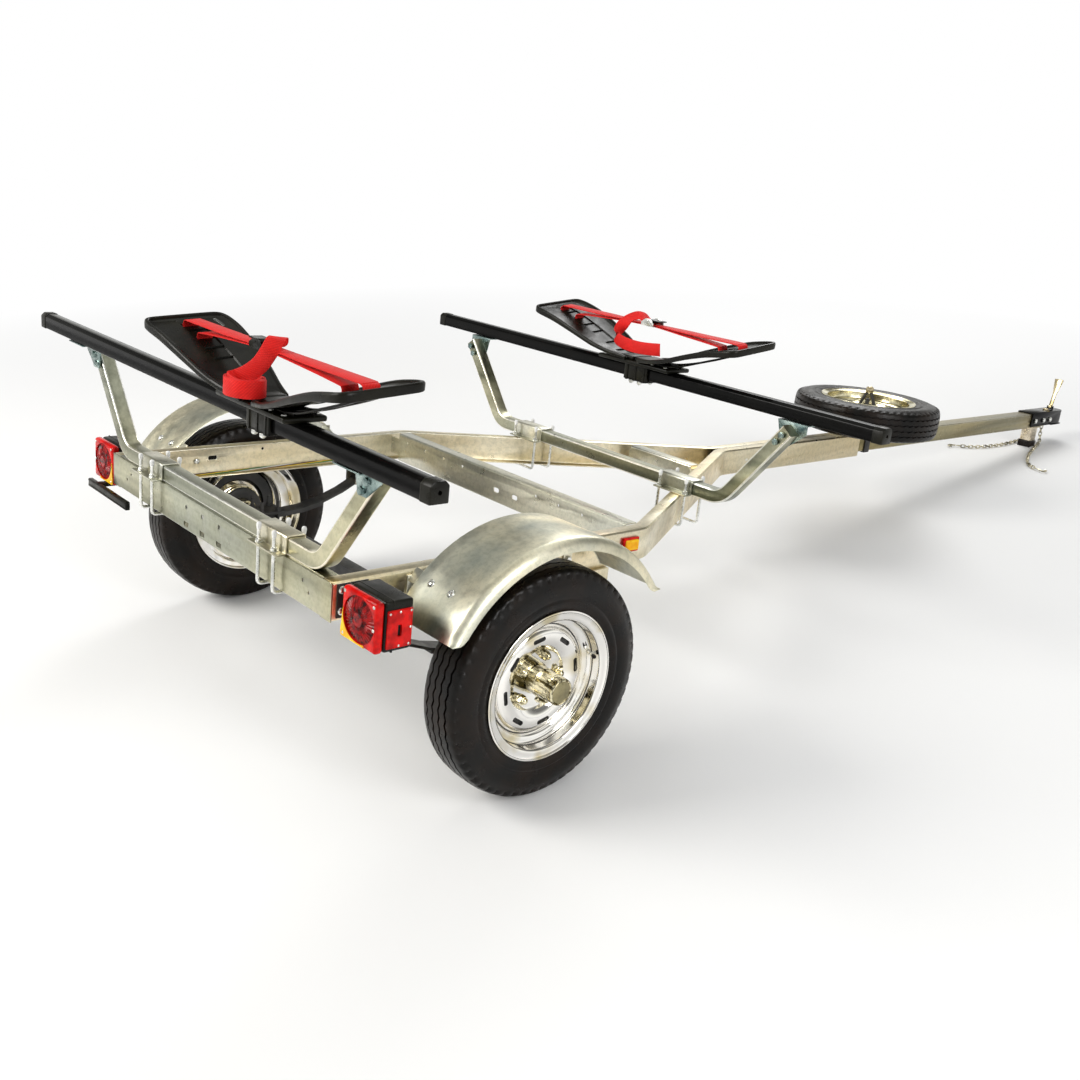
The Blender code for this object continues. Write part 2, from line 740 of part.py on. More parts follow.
def crossmember(y, height, web_half, flange_half, tab_half, flange_side=1):
    """A channel across the frame; its flanges stop at the rails' flanges, its web goes on."""
    z = RAIL_TOP
    section = channel_section(height, CROSS_FLANGE, CROSS_WALL, RAIL_CORNER)
    rings = []
    for x in (-flange_half, flange_half):
        rings.append([(x, y + flange_side * u, z + v) for u, v in section])
    body = loft(rings)
    middle = z - height / 2
    for side in (-1, 1):
        near = side * (flange_half - WELD_LAP)
        far = side * web_half
        tab = block((min(near, far), y, middle - tab_half),
                    (max(near, far), y + CROSS_WALL, middle + tab_half))
        body = fuse(body, tab)
    return body


def rear_crossmember_mesh():
    """The rear channel, whose web covers the ends of both rails."""
    flange_half = RAIL_OUT - RAIL_FLANGE - GAP
    body = crossmember(FRAME_REAR, CROSS_HEIGHT, RAIL_OUT, flange_half, CROSS_HEIGHT / 2 - RAIL_CORNER / 3)
    low = FRAME_REAR - CROSS_WALL
    high = FRAME_REAR + 2 * CROSS_WALL
    tools = []
    for i in (-1, 0, 1):
        x = HOLE_MIDDLE_X + i * HOLE_PITCH
        tools.append(cylinder(HOLE_RADIUS, low, high, (x, RAIL_TOP - REAR_HOLE_DROP), "Y"))
        half_x, half_z = REAR_SLOT_HALF
        slot_z = RAIL_TOP - REAR_SLOT_DROP
        tools.append(block((x - half_x, low, slot_z - half_z), (x + half_x, high, slot_z + half_z)))
    for side in (-1, 1):
        for x, drop in LAMP_HOLES:
            tools.append(cylinder(SMALL_HOLE_RADIUS, low, high, (side * x, RAIL_TOP - drop), "Y"))
    return cut(body, *tools)


def middle_crossmember_mesh():
    """The middle channel, coped to stand inside the rails' channels."""
    flange_half = RAIL_OUT - RAIL_FLANGE - MIDDLE_COPE
    body = crossmember(MIDDLE_Y, CROSS_HEIGHT, RAIL_OUT - RAIL_WALL - GAP, flange_half, TAB_HEIGHT / 2)
    low = MIDDLE_Y - CROSS_WALL
    high = MIDDLE_Y + 2 * CROSS_WALL
    tools = []
    for x in MIDDLE_HOLES_X:
        tools.append(cylinder(SMALL_HOLE_RADIUS, low, high, (x, RAIL_TOP - MIDDLE_HOLE_DROP), "Y"))
    for x in CABLE_HOLES_X:
        tools.append(cylinder(HOLE_RADIUS, low, high, (x, RAIL_TOP - CABLE_HOLE_DROP), "Y"))
    return cut(body, *tools)


def front_crossmember_mesh():
    """The short channel between the slanting rails, ahead of the front support."""
    far_y = FRONT_CROSS_Y + CROSS_FLANGE
    half = rail_outer_x(far_y) - rail_width_across() - GAP
    return crossmember(FRONT_CROSS_Y, FRONT_CROSS_HEIGHT, half + FRONT_TAB, half, TAB_HEIGHT / 2)


def square_tube_section(size, wall):
    """Outer and inner outline of a square tube with eased corners."""
    half = size / 2
    ease = wall * 0.9
    outer = []
    for sx, sy in ((1, 1), (-1, 1), (-1, -1), (1, -1)):
        first = (sx * (half - ease), sy * half)
        second = (sx * half, sy * (half - ease))
        outer += [second, first] if sx * sy > 0 else [first, second]
    inner_half = half - wall
    inner = []
    for sx, sy in ((1, 1), (-1, 1), (-1, -1), (1, -1)):
        inner += [(sx * inner_half, sy * inner_half)]
    return outer, inner


def hollow_loft(outer_rings, inner_rings):
    """A tube with open ends: an outer skin, an inner skin and a rim at each end."""
    outer = loft(outer_rings)
    first = Vector(inner_rings[0][0]) - Vector(inner_rings[1][0])
    last = Vector(inner_rings[-1][0]) - Vector(inner_rings[-2][0])
    longer = [[Vector(p) + first.normalized() * TUNNEL for p in inner_rings[0]]]
    longer += [[Vector(p) for p in ring] for ring in inner_rings[1:-1]]
    longer += [[Vector(p) + last.normalized() * TUNNEL for p in inner_rings[-1]]]
    return cut(outer, loft(longer))


def tongue_mesh():
    """The straight square tube from the rails to the coupler, with its bolt holes."""
    outer, inner = square_tube_section(TONGUE_SIZE, TONGUE_WALL)
    ends = (TONGUE_REAR, TONGUE_FRONT)
    tube = hollow_loft([[(x, y, TONGUE_MIDDLE + z) for x, z in outer] for y in ends],
                       [[(x, y, TONGUE_MIDDLE + z) for x, z in inner] for y in ends])
    holes = [cylinder(BRACKET_BOLT_RADIUS + GAP, -TONGUE_SIZE, TONGUE_SIZE, (y, TONGUE_MIDDLE), "X")
             for y in coupler_bolt_places()]
    return cut(tube, *holes)


def coupler_bolt_places():
    """Two bolts through the coupler and the tongue."""
    return tuple(COUPLER_REAR + place for place in COUPLER_BOLTS)


def support_path():
    """Centre line of a support tube, from the left arm's end to the right one's."""
    rise = SUPPORT_ARM_TOP - SUPPORT_MIDDLE
    out = rise / math.tan(SUPPORT_SLOPE)
    corners = [(-SUPPORT_BEND_X - out, SUPPORT_ARM_TOP), (-SUPPORT_BEND_X, SUPPORT_MIDDLE),
               (SUPPORT_BEND_X, SUPPORT_MIDDLE), (SUPPORT_BEND_X + out, SUPPORT_ARM_TOP)]
    return plan_path(corners, SUPPORT_BEND_RADIUS, 4)


def support_mesh():
    """A bent square tube, hollow with open ends."""
    outer, inner = square_tube_section(SUPPORT_SIZE, SUPPORT_WALL)
    path = support_path()
    skins = []
    for section in (outer, inner):
        rings = []
        for point, (left, stretch) in zip(path, path_normals(path)):
            rings.append([(point.x + left.x * b * stretch, a, point.y + left.y * b * stretch)
                          for a, b in section])
        skins.append(rings)
    tube = hollow_loft(*skins)
    for side in (-1, 1):
        for x, z in bracket_bolt_places():
            hole = cylinder(BRACKET_BOLT_RADIUS + GAP * 2, -SUPPORT_SIZE, SUPPORT_SIZE, (side * x, z), "Y", 4)
            tube = cut(tube, hole)
    return tube


def arm_point(back):
    """A point on the right arm's centre line, some way back from its end."""
    rise = SUPPORT_ARM_TOP - SUPPORT_MIDDLE
    end = (SUPPORT_BEND_X + rise / math.tan(SUPPORT_SLOPE), SUPPORT_ARM_TOP)
    return (end[0] - back * math.cos(SUPPORT_SLOPE), end[1] - back * math.sin(SUPPORT_SLOPE))


def bracket_bolt_places():
    """The two bolts that hold a bar bracket on an arm."""
    return (arm_point(BRACKET_BOLT_BACK), arm_point(BRACKET_BOLT_BACK + BRACKET_BOLT_PITCH))


def bar_bracket_mesh():
    """Right rear bracket in the support's own axes: a plate on the arm and a shelf under the bar."""
    face = -SUPPORT_SIZE / 2 - GAP
    x, z = arm_point(0.0)
    top = BAR_BOTTOM - GAP
    low = z - BRACKET_DROP
    left = x - BRACKET_INWARD
    right = x + BRACKET_OUTWARD
    outline = [(left, top), (right, top), (right, z - BRACKET_DROP / 7), (x - BRACKET_INWARD / 5, low),
               (x - BRACKET_INWARD * 0.7, low)]
    plate = prism(outline, face - BRACKET_PLATE, face, "Y")
    shelf = block((left, face - BRACKET_DEPTH, top - BRACKET_PLATE), (right, face, top))
    solid = fuse(plate, shelf)
    for bx, bz in bracket_bolt_places():
        far = SUPPORT_SIZE / 2 + GAP
        shank = cylinder(BRACKET_BOLT_RADIUS, face - BRACKET_PLATE / 2, far + BOLT_HEAD_HEIGHT / 2,
                         (bx, bz), "Y", 4)
        head = cylinder(BRACKET_BOLT_HEAD, face - BRACKET_PLATE - BOLT_HEAD_HEIGHT, face - BRACKET_PLATE / 2,
                        (bx, bz), "Y", 6)
        nut = cylinder(BRACKET_BOLT_HEAD, far, far + BOLT_HEAD_HEIGHT, (bx, bz), "Y", 6)
        solid = fuse(solid, shank, head, nut)
    return solid


def u_bolt(centre_a, centre_b, half, low, high, across, sides=6, radius=ROD_RADIUS):
    """A U-bolt hanging from two studs; across is the axis that its legs are spread along."""
    flat = []
    for end in (-1, 1):
        flat.append([(end * half, low + ROD_BEND), (end * (half - ROD_BEND), low)])
    line = [(-half, high)] + flat[0] + flat[1][::-1] + [(half, high)]
    points = []
    for a, z in line:
        if across == "Y":
            points.append((centre_a, centre_b + a, z))
        else:
            points.append((centre_a + a, centre_b, z))
    return rod(points, radius, sides)


def clamp_mesh(rear):
    """Right clamp in the support's own axes: a hat plate over the tube, two U-bolts and their nuts."""
    inside = SUPPORT_SIZE / 2 + GAP
    outside = inside + CLAMP_PLATE
    foot = outside + CLAMP_FOOT
    base = RAIL_TOP + GAP
    roof = base + SUPPORT_SIZE + GAP
    outline = [(-foot, base), (-inside, base), (-inside, roof), (inside, roof), (inside, base), (foot, base),
               (foot, base + CLAMP_PLATE), (outside, base + CLAMP_PLATE), (outside, roof + CLAMP_PLATE),
               (-outside, roof + CLAMP_PLATE), (-outside, base + CLAMP_PLATE), (-foot, base + CLAMP_PLATE)]
    solid = prism(outline, -CLAMP_HALF_LENGTH, CLAMP_HALF_LENGTH, "X")
    leg = outside + CLAMP_FOOT * 0.5
    high = RAIL_TOP + ROD_UP
    if rear:
        low = RAIL_TOP - CROSS_HEIGHT - GAP - ROD_RADIUS
        bolts = [u_bolt(side * ROD_SPREAD, 0.0, leg, low, high, "Y") for side in (-1, 1)]
        studs = [(sx * ROD_SPREAD, sy * leg) for sx in (-1, 1) for sy in (-1, 1)]
    else:
        low = RAIL_BOTTOM - GAP - ROD_RADIUS
        bolts = [u_bolt(0.0, side * leg, FRONT_ROD_SPREAD, low, high, "X") for side in (-1, 1)]
        studs = [(sx * FRONT_ROD_SPREAD, sy * leg) for sx in (-1, 1) for sy in (-1, 1)]
    solid = fuse(solid, *bolts)
    for x, y in studs:
        nut = cylinder(ROD_NUT, base + CLAMP_PLATE / 2, base + CLAMP_PLATE + ROD_NUT_HEIGHT, (x, y), "Z", 6)
        solid = fuse(solid, nut)
    return solid


def bar_mesh():
    """A load bar with chamfered top edges and a cap on each end."""
    half = BAR_SIZE / 2
    small = BAR_CHAMFER / 3
    outline = [(half, -half + small), (half, half - BAR_CHAMFER), (half - BAR_CHAMFER, half),
               (-half + BAR_CHAMFER, half), (-half, half - BAR_CHAMFER), (-half, -half + small),
               (-half + small, -half), (half - small, -half)]
    swell = 1 + 2 * BAR_CAP_PROUD / BAR_SIZE
    end = BAR_LENGTH / 2
    right_half = [(end - BAR_CAP, 1.0), (end - BAR_CAP, swell), (end - BAR_CAP_EASE, swell),
                  (end, BAR_CAP_TAPER)]
    stations = [(-x, scale) for x, scale in right_half[::-1]] + right_half
    bar = loft([[(x, y * grow, z * grow) for y, z in outline] for x, grow in stations])
    inside = end - BAR_CAP_PLATE
    hollow = 1 - 2 * BAR_WALL / BAR_SIZE
    core = loft([[(x, y * hollow, z * hollow) for y, z in outline] for x in (-inside, inside)])
    holes = [cylinder(BAR_CAP_HOLE, sign * inside - 2 * BAR_CAP_PLATE, sign * inside + 2 * BAR_CAP_PLATE,
                      (0.0, 0.0), "X", 6) for sign in (-1, 1)]
    return cut(bar, fuse(core, *holes))


def saddle_base_mesh():
    """The saddle's foot: a plate on the bar and a grip that closes round it."""
    top = BAR_SIZE / 2 + GAP
    plate = block((-SADDLE_BASE_HALF, -SADDLE_BASE_DEPTH, top),
                  (SADDLE_BASE_HALF, SADDLE_BASE_DEPTH, top + SADDLE_BASE_PLATE), SADDLE_BASE_PLATE / 4)
    reach = BAR_SIZE / 2 + GAP
    outside = reach + SADDLE_GRIP_WALL
    grip = block((-SADDLE_GRIP_HALF, -outside, -outside),
                 (SADDLE_GRIP_HALF, outside, top + SADDLE_BASE_PLATE / 6))
    tunnel = block((-SADDLE_GRIP_HALF - TUNNEL, -reach, -reach), (SADDLE_GRIP_HALF + TUNNEL, reach, reach))
    return fuse(cut(grip, tunnel), plate)


def wing_mesh():
    """Right wing in the saddle's own axes: a curved panel, wide outside, with a rib under it."""
    rise = saddle_rise()
    rings = []
    for (x, z), half in zip(WING_LINE, WING_HALF_WIDTHS):
        edge = WING_THICK * 0.3
        low = rise + z - WING_THICK / 2
        high = rise + z + WING_THICK / 2
        right_side = [(half - edge, low), (half, low + edge), (half, high - edge), (half - edge, high)]
        section = right_side + [(-y, level) for y, level in right_side[::-1]]
        rings.append([(x, y, level) for y, level in section])
    panel = loft(rings)
    ribs = []
    for x, z in RIB_LINE:
        low = rise + z - RIB_THICK
        high = rise + z
        ribs.append([(x, -RIB_HALF_WIDTH, low), (x, RIB_HALF_WIDTH, low), (x, RIB_HALF_WIDTH, high),
                     (x, -RIB_HALF_WIDTH, high)])
    panel = fuse(panel, loft(ribs))
    root = block((WING_ROOT[0], -WING_ROOT_HALF, rise),
                 (WING_ROOT[1], WING_ROOT_HALF, rise + WING_ROOT_HEIGHT))
    panel = fuse(panel, root)
    for x in (OUTER_SLOT, INNER_SLOT):
        half = STRAP_WIDTH / 2 + SLOT_SIDE_CLEARANCE
        reach = SLOT_LENGTH / 2
        panel = cut(panel, block((x - reach, -half, rise), (x + reach, half, rise + 2 * TUNNEL)))
    return panel


def wing_height(x):
    """Middle of the wing over the saddle's foot, at a distance from its middle."""
    for (x0, z0), (x1, z1) in zip(WING_LINE, WING_LINE[1:]):
        if x0 <= x <= x1:
            return z0 + (z1 - z0) * (x - x0) / (x1 - x0)
    return WING_LINE[-1][1]


def saddle_rise():
    """Top of the saddle's foot over the bar's middle."""
    return BAR_SIZE / 2 + GAP + SADDLE_BASE_PLATE + GAP


def strap_levels():
    """Heights of the strap's upper and lower runs and of its turn under a wing."""
    rise = saddle_rise()
    upper = rise + wing_height(OUTER_SLOT) + STRAP_OVER
    lower = rise + wing_height(INNER_SLOT) + STRAP_OVER
    below = rise - WING_THICK / 2 - GAP - STRAP_THICK / 2
    under = below + wing_height(INNER_SLOT)
    under_out = below + wing_height(OUTER_SLOT - SLOT_LENGTH / 2)
    return upper, lower, under, under_out


def strap_mesh(tail_route, rolled):
    """One endless strap through both wings, and its free tail, rolled up or laid in the saddle."""
    upper, lower, under, under_out = strap_levels()
    bend = STRAP_BEND
    half_loop = [(0.0, upper), (OUTER_SLOT - bend, upper), (OUTER_SLOT, upper - bend),
                 (OUTER_SLOT, under_out + bend / 2), (OUTER_SLOT - bend / 2, under_out),
                 (INNER_SLOT + bend / 2, under), (INNER_SLOT, under + bend / 2), (INNER_SLOT, lower - bend),
                 (INNER_SLOT - bend, lower), (0.0, lower)]
    other = [(-x, z) for x, z in half_loop[1:-1]][::-1]
    loop = [Vector((x, 0.0, z)) for x, z in half_loop + other]
    rings = []
    half = STRAP_WIDTH / 2
    for i, point in enumerate(loop):
        before = (point - loop[i - 1]).normalized()
        after = (loop[(i + 1) % len(loop)] - point).normalized()
        ahead = (before + after).normalized()
        out = Vector((-ahead.z, 0.0, ahead.x)) * (STRAP_THICK / 2) / max(0.3, ahead.dot(before))
        rings.append([point + out + Vector((0, -half, 0)), point + out + Vector((0, half, 0)),
                      point - out + Vector((0, half, 0)), point - out + Vector((0, -half, 0))])
    strap = loft(rings, closed_path=True)
    pieces = REAR_TAIL_PIECES if rolled else FRONT_TAIL_PIECES
    path = smooth_path([(x, y, upper + z) for x, y, z in tail_route], pieces=pieces)
    ribbon = []
    for i, point in enumerate(path):
        share = i / (len(path) - 1)
        ahead = (path[min(i + 1, len(path) - 1)] - path[max(i - 1, 0)]).normalized()
        upright = min(1.0, max(0.0, share * 2.4 - 0.7))
        flat = Vector((0.0, 1.0, 0.0)).lerp(Vector((0.0, 0.0, 1.0)), upright)
        across = (flat - ahead * flat.dot(ahead)).normalized() * TAIL_WIDTH / 2
        thick = ahead.cross(across).normalized() * TAIL_THICK
        ribbon.append([point - across - thick, point + across - thick,
                       point + across + thick, point - across + thick])
    strap = fuse(strap, loft(ribbon))
    if not rolled:
        return strap
    floor = saddle_rise() + ROLL_FLOOR
    roll = []
    for i in range(ROLL_STEPS):
        angle = 2 * math.pi * i / ROLL_STEPS
        roll.append((ROLL_X + ROLL_HALF_LENGTH * math.cos(angle),
                     -ROLL_BACK + ROLL_HALF_WIDTH * math.sin(angle)))
    return fuse(strap, prism(roll, floor, floor + STRAP_WIDTH, "Z"))


def buckle_mesh():
    """The buckle's frame: a floor under the strap, two cheeks and the pin that its cam turns on."""
    upper, _, _, _ = strap_levels()
    half = STRAP_WIDTH / 2 + SLOT_SIDE_CLEARANCE
    low = upper - STRAP_THICK / 2 - GAP - BUCKLE_WALL
    high = upper + BUCKLE_RISE
    start = BUCKLE_X - BUCKLE_LENGTH / 2
    end = BUCKLE_X + BUCKLE_LENGTH / 2
    floor = block((start, -half - BUCKLE_WALL, low), (end, half + BUCKLE_WALL, low + BUCKLE_WALL))
    cheeks = []
    for side in (-1, 1):
        near = side * half
        far = side * (half + BUCKLE_WALL)
        outline = [(start, low), (end, low), (end, low + BUCKLE_STEP), (BUCKLE_X + BUCKLE_EAR_HALF, high),
                   (BUCKLE_X - BUCKLE_EAR_HALF, high), (start, low + BUCKLE_STEP)]
        cheeks.append(prism(outline, min(near, far), max(near, far), "Y"))
    pin = cylinder(BUCKLE_PIN_RADIUS, -half - 1.3 * BUCKLE_WALL, half + 1.3 * BUCKLE_WALL,
                   (BUCKLE_X, buckle_pin_height()), "Y", 8)
    return fuse(floor, *cheeks, pin)


def buckle_pin_height():
    """Height of the cam's pin over the bar's middle."""
    return strap_levels()[0] + BUCKLE_RISE * 0.55


def buckle_lever_mesh():
    """The cam lever, in axes on its pin, pointing towards minus X."""
    half = STRAP_WIDTH / 2
    around = BUCKLE_PIN_RADIUS + GAP
    barrel = cylinder(around + CAM_WALL, -half, half, (0.0, 0.0), "Y", 12)
    arm_low = CAM_WALL * 2 / 3
    arm = block((-BUCKLE_LEVER_LENGTH, -half * 0.8, arm_low), (0.0, half * 0.8, arm_low + BUCKLE_LEVER_PLATE))
    bore = cylinder(around, -half - TUNNEL, half + TUNNEL, (0.0, 0.0), "Y", 8)
    return cut(fuse(barrel, arm), bore)


def tyre_mesh():
    """A tyre as one closed ring, with flat facets to stand on."""
    half = TYRE_HALF_WIDTH
    grow = 1.0 / math.cos(math.pi / TYRE_STEPS)
    bead = BEAD_RADIUS * grow + GAP * 2
    wall_in = RIM_HALF_WIDTH - 0.004 - GAP
    shoulder = (TYRE_RADIUS - TYRE_SHOULDER_DROP) * grow
    right_side = [(half - 0.026, TYRE_RADIUS * grow), (half - 0.010, shoulder), (half, TYRE_WIDEST_RADIUS),
                  (wall_in, FLANGE_RADIUS + 0.006), (wall_in, bead)]
    inside = [(wall_in - TYRE_TREAD, bead), (half - TYRE_WALL, TYRE_WIDEST_RADIUS - 0.006),
              (half - 0.020, TYRE_RADIUS - TYRE_TREAD)]
    ring = right_side + inside
    profile = ring + [(-along, radius) for along, radius in ring[::-1]]
    return turned(profile, TYRE_STEPS, 0.5)


def rim_mesh():
    """Barrel and disc in one turned section, outer side towards plus X, with slots and bolt holes."""
    half = RIM_HALF_WIDTH
    lip = RIM_LIP
    wall = RIM_WALL
    seat = DISC_SEAT
    plate = DISC_PLATE
    crown = DISC_CROWN
    slant = 2 * RIM_LIP
    profile = [
        (-half, FLANGE_RADIUS), (-half + lip, BEAD_RADIUS), (WELL_INNER - slant, BEAD_RADIUS),
        (WELL_INNER, WELL_RADIUS), (WELL_OUTER, WELL_RADIUS), (WELL_OUTER + slant, BEAD_RADIUS),
        (half - lip, BEAD_RADIUS), (half, FLANGE_RADIUS), (half, BEAD_RADIUS - wall),
        (WELL_OUTER + slant + wall / 2, BEAD_RADIUS - wall), (WELL_OUTER + wall / 2, WELL_RADIUS - wall),
        (crown, 0.108), (crown, 0.086), (seat, DISC_SEAT_RADIUS), (seat, HUB_BORE_RADIUS),
        (seat - plate, HUB_BORE_RADIUS), (seat - plate, DISC_SEAT_RADIUS + plate / 2), (crown - plate, 0.088),
        (crown - plate, 0.106), (WELL_OUTER - 2 * plate, WELL_RADIUS - wall),
        (WELL_INNER - wall / 2, WELL_RADIUS - wall), (-half, BEAD_RADIUS - wall),
    ]
    rim = turned(profile, RIM_STEPS, 0.5)
    for i in range(WINDOW_COUNT):
        angle = WINDOW_PHASE + 2 * math.pi * i / WINDOW_COUNT
        window = block((0.0, -WINDOW_WIDTH / 2, WINDOW_RADIUS - WINDOW_LENGTH / 2),
                       (2 * crown, WINDOW_WIDTH / 2, WINDOW_RADIUS + WINDOW_LENGTH / 2))
        rim = cut(rim, moved(window, Matrix.Rotation(angle, 4, "X")))
    for i in range(LUG_COUNT):
        angle = 2 * math.pi * i / LUG_COUNT
        centre = (LUG_CIRCLE_RADIUS * math.cos(angle), LUG_CIRCLE_RADIUS * math.sin(angle))
        rim = cut(rim, cylinder(LUG_RADIUS + GAP * 2, seat - 0.02, seat + 0.02, centre, "X", 6))
    return rim


def hub_mesh():
    """Hub, studs, nuts and cap as they turn together, outer side towards plus X."""
    back = DISC_SEAT - DISC_PLATE - GAP
    rear = back - HUB_BARREL_LENGTH
    bore = (SPINDLE_RADIUS + GAP) / math.cos(math.pi / HUB_STEPS)
    flange = back - HUB_FLANGE_PLATE
    neck = HUB_BORE_RADIUS - GAP * 4
    shape = [(rear, HUB_BARREL_RADIUS), (flange, HUB_BARREL_RADIUS), (flange, HUB_FLANGE_RADIUS),
             (back, HUB_FLANGE_RADIUS), (back, neck), (DISC_SEAT + CAP_STEP, neck),
             (DISC_SEAT + CAP_STEP + CAP_EASE / 3, CAP_RADIUS), (CAP_OUT - CAP_EASE, CAP_RADIUS),
             (CAP_OUT, CAP_RADIUS - CAP_EASE)]
    rings = []
    for along, radius in shape:
        ring = []
        for i in range(HUB_STEPS):
            angle = 2 * math.pi * (i + 0.5) / HUB_STEPS
            ring.append((along, radius * math.cos(angle), radius * math.sin(angle)))
        rings.append(ring)
    hub = cut(loft(rings), cylinder(bore, rear - TUNNEL, CAP_OUT - 0.010, (0.0, 0.0), "X", HUB_STEPS))
    for i in range(LUG_COUNT):
        angle = 2 * math.pi * i / LUG_COUNT
        centre = (LUG_CIRCLE_RADIUS * math.cos(angle), LUG_CIRCLE_RADIUS * math.sin(angle))
        stud = cylinder(LUG_RADIUS, back - 0.004, DISC_SEAT + GAP * 2, centre, "X", 6)
        nut = cylinder(NUT_RADIUS, DISC_SEAT + GAP, DISC_SEAT + GAP + NUT_HEIGHT, centre, "X", 6)
        hub = fuse(hub, fuse(nut, stud))
    return hub


def axle_mesh():
    """The axle beam with a spindle at each end and the tie plates that hold the springs."""
    back = TRACK_HALF + DISC_SEAT - DISC_PLATE - GAP - HUB_BARREL_LENGTH
    beam_end = back - 0.008
    beam = block((-beam_end, -AXLE_HALF, -AXLE_HALF), (beam_end, AXLE_HALF, AXLE_HALF))
    reach = TRACK_HALF + CAP_OUT - 0.016
    beam = fuse(beam, cylinder(SPINDLE_RADIUS, -reach, reach, (0.0, 0.0), "X", HUB_STEPS))
    stack = SPRING_BASE + 2 * LEAF + GAP
    for side in (-1, 1):
        middle = side * SPRING_X
        wide = SPRING_WIDTH / 2 + GAP * 2 + TIE_ROD_RADIUS * 2
        plate = block((middle - wide - 0.004, -TIE_HALF_LENGTH, stack),
                      (middle + wide + 0.004, TIE_HALF_LENGTH, stack + TIE_PLATE))
        beam = fuse(beam, plate)
        for sx in (-1, 1):
            x = middle + sx * (SPRING_WIDTH / 2 + GAP * 2 + TIE_ROD_RADIUS)
            spread = AXLE_HALF + TIE_ROD_RADIUS + GAP * 2
            high = stack + TIE_PLATE + TIE_ROD_STAND
            low = -AXLE_HALF - TIE_ROD_RADIUS * 0.8
            beam = fuse(beam, u_bolt(x, 0.0, spread, low, high, "Y", radius=TIE_ROD_RADIUS))
            for sy in (-1, 1):
                nut = cylinder(TIE_ROD_RADIUS * 1.7, stack + TIE_PLATE / 2, stack + TIE_PLATE + 0.008,
                               (x, sy * spread), "Z", 6)
                beam = fuse(beam, nut)
    return beam


def leaf_spring_mesh():
    """Two leaves over the axle, the long one rolled into an eye at each end."""
    reach = SPRING_HALF_SPAN - TIE_HALF_LENGTH
    rising = [(TIE_HALF_LENGTH + reach * i / 4, SPRING_RISE * (i / 4) ** 2) for i in range(5)]
    curve = [(-y, z) for y, z in rising[::-1]] + rising
    helper = [(-y, z) for y, z in rising[HELPER_STEPS::-1]] + rising[:HELPER_STEPS + 1]
    base = SPRING_BASE + LEAF
    long_end = len(curve) - len(rising) - HELPER_STEPS - 1
    low = [(y, base + z) for y, z in curve[:long_end + 1]]
    low += [(y, base + z - LEAF) for y, z in helper]
    low += [(y, base + z) for y, z in curve[-long_end - 1:]]
    top = [(y, base + z + LEAF) for y, z in curve]
    leaf = prism(low + top[::-1], -SPRING_WIDTH / 2, SPRING_WIDTH / 2, "X")
    for side in (-1, 1):
        centre = (side * SPRING_HALF_SPAN, EYE_HEIGHT)
        leaf = fuse(leaf, cylinder(EYE_RADIUS - 0.002, -SPRING_WIDTH / 2, SPRING_WIDTH / 2, centre, "X", 10))
        leaf = cut(leaf, cylinder(PIN_RADIUS + GAP * 2, -SPRING_WIDTH, SPRING_WIDTH, centre, "X", 6))
    return leaf


def fender_mesh():
    """Right fender: a rolled sheet over the tyre with a turned-down outer edge and two arms to the rail."""
    outer = [(FENDER_INNER, FENDER_RADIUS), (FENDER_OUTER - FENDER_LIP, FENDER_RADIUS)]
    under = FENDER_RADIUS - FENDER_SHEET
    inner = [(FENDER_INNER, under), (FENDER_OUTER - FENDER_LIP, under)]
    for i in range(1, 3):
        angle = math.pi / 2 * i / 2
        corner = FENDER_OUTER - FENDER_LIP
        outer.append((corner + FENDER_LIP * math.sin(angle),
                      FENDER_RADIUS - FENDER_LIP * (1 - math.cos(angle))))
        thin = FENDER_LIP - FENDER_SHEET
        inner.append((corner + thin * math.sin(angle), FENDER_RADIUS - FENDER_LIP + thin * math.cos(angle)))
    section = outer + inner[::-1]
    rings = []
    for i in range(FENDER_STEPS + 1):
        angle = FENDER_START + (FENDER_END - FENDER_START) * i / FENDER_STEPS
        rings.append([(x, r * math.cos(angle), r * math.sin(angle)) for x, r in section])
    fender = loft(rings)
    inside = FENDER_RADIUS - FENDER_SHEET
    rail_face = RAIL_OUT + GAP
    for angle in BRACKET_ANGLES:
        y = inside * math.cos(angle)
        z = inside * math.sin(angle)
        half = FENDER_ARM_WIDTH / 2
        arm = block((rail_face, -half, inside - FENDER_ARM_PLATE),
                    (rail_face + FENDER_ARM_REACH, half, inside + FENDER_ARM_LAP))
        arm = moved(arm, Matrix.Rotation(angle - math.pi / 2, 4, "X"))
        tab = block((rail_face, y - half * 0.8, RAIL_BOTTOM + FENDER_TAB_LOW),
                    (rail_face + FENDER_TAB_PLATE, y + half * 0.8, z))
        fender = fuse(fender, arm, tab)
        for place in FENDER_BOLTS:
            foot = inside - FENDER_SHEET / 2
            top = inside + FENDER_SHEET + FENDER_BOLT_PROUD
            head = cylinder(FENDER_BOLT_RADIUS, foot, top, (FENDER_INNER + place, 0.0), "Z", 6)
            fender = fuse(fender, moved(head, Matrix.Rotation(angle - math.pi / 2, 4, "X")))
        bolt_foot = rail_face + FENDER_TAB_PLATE - GAP
        bolt = cylinder(TAB_BOLT_RADIUS, bolt_foot, bolt_foot + TAB_BOLT_HEIGHT,
                        (y, RAIL_BOTTOM + FENDER_TAB_LOW * 2 - 0.004), "X", 6)
        fender = fuse(fender, bolt)
    return fender


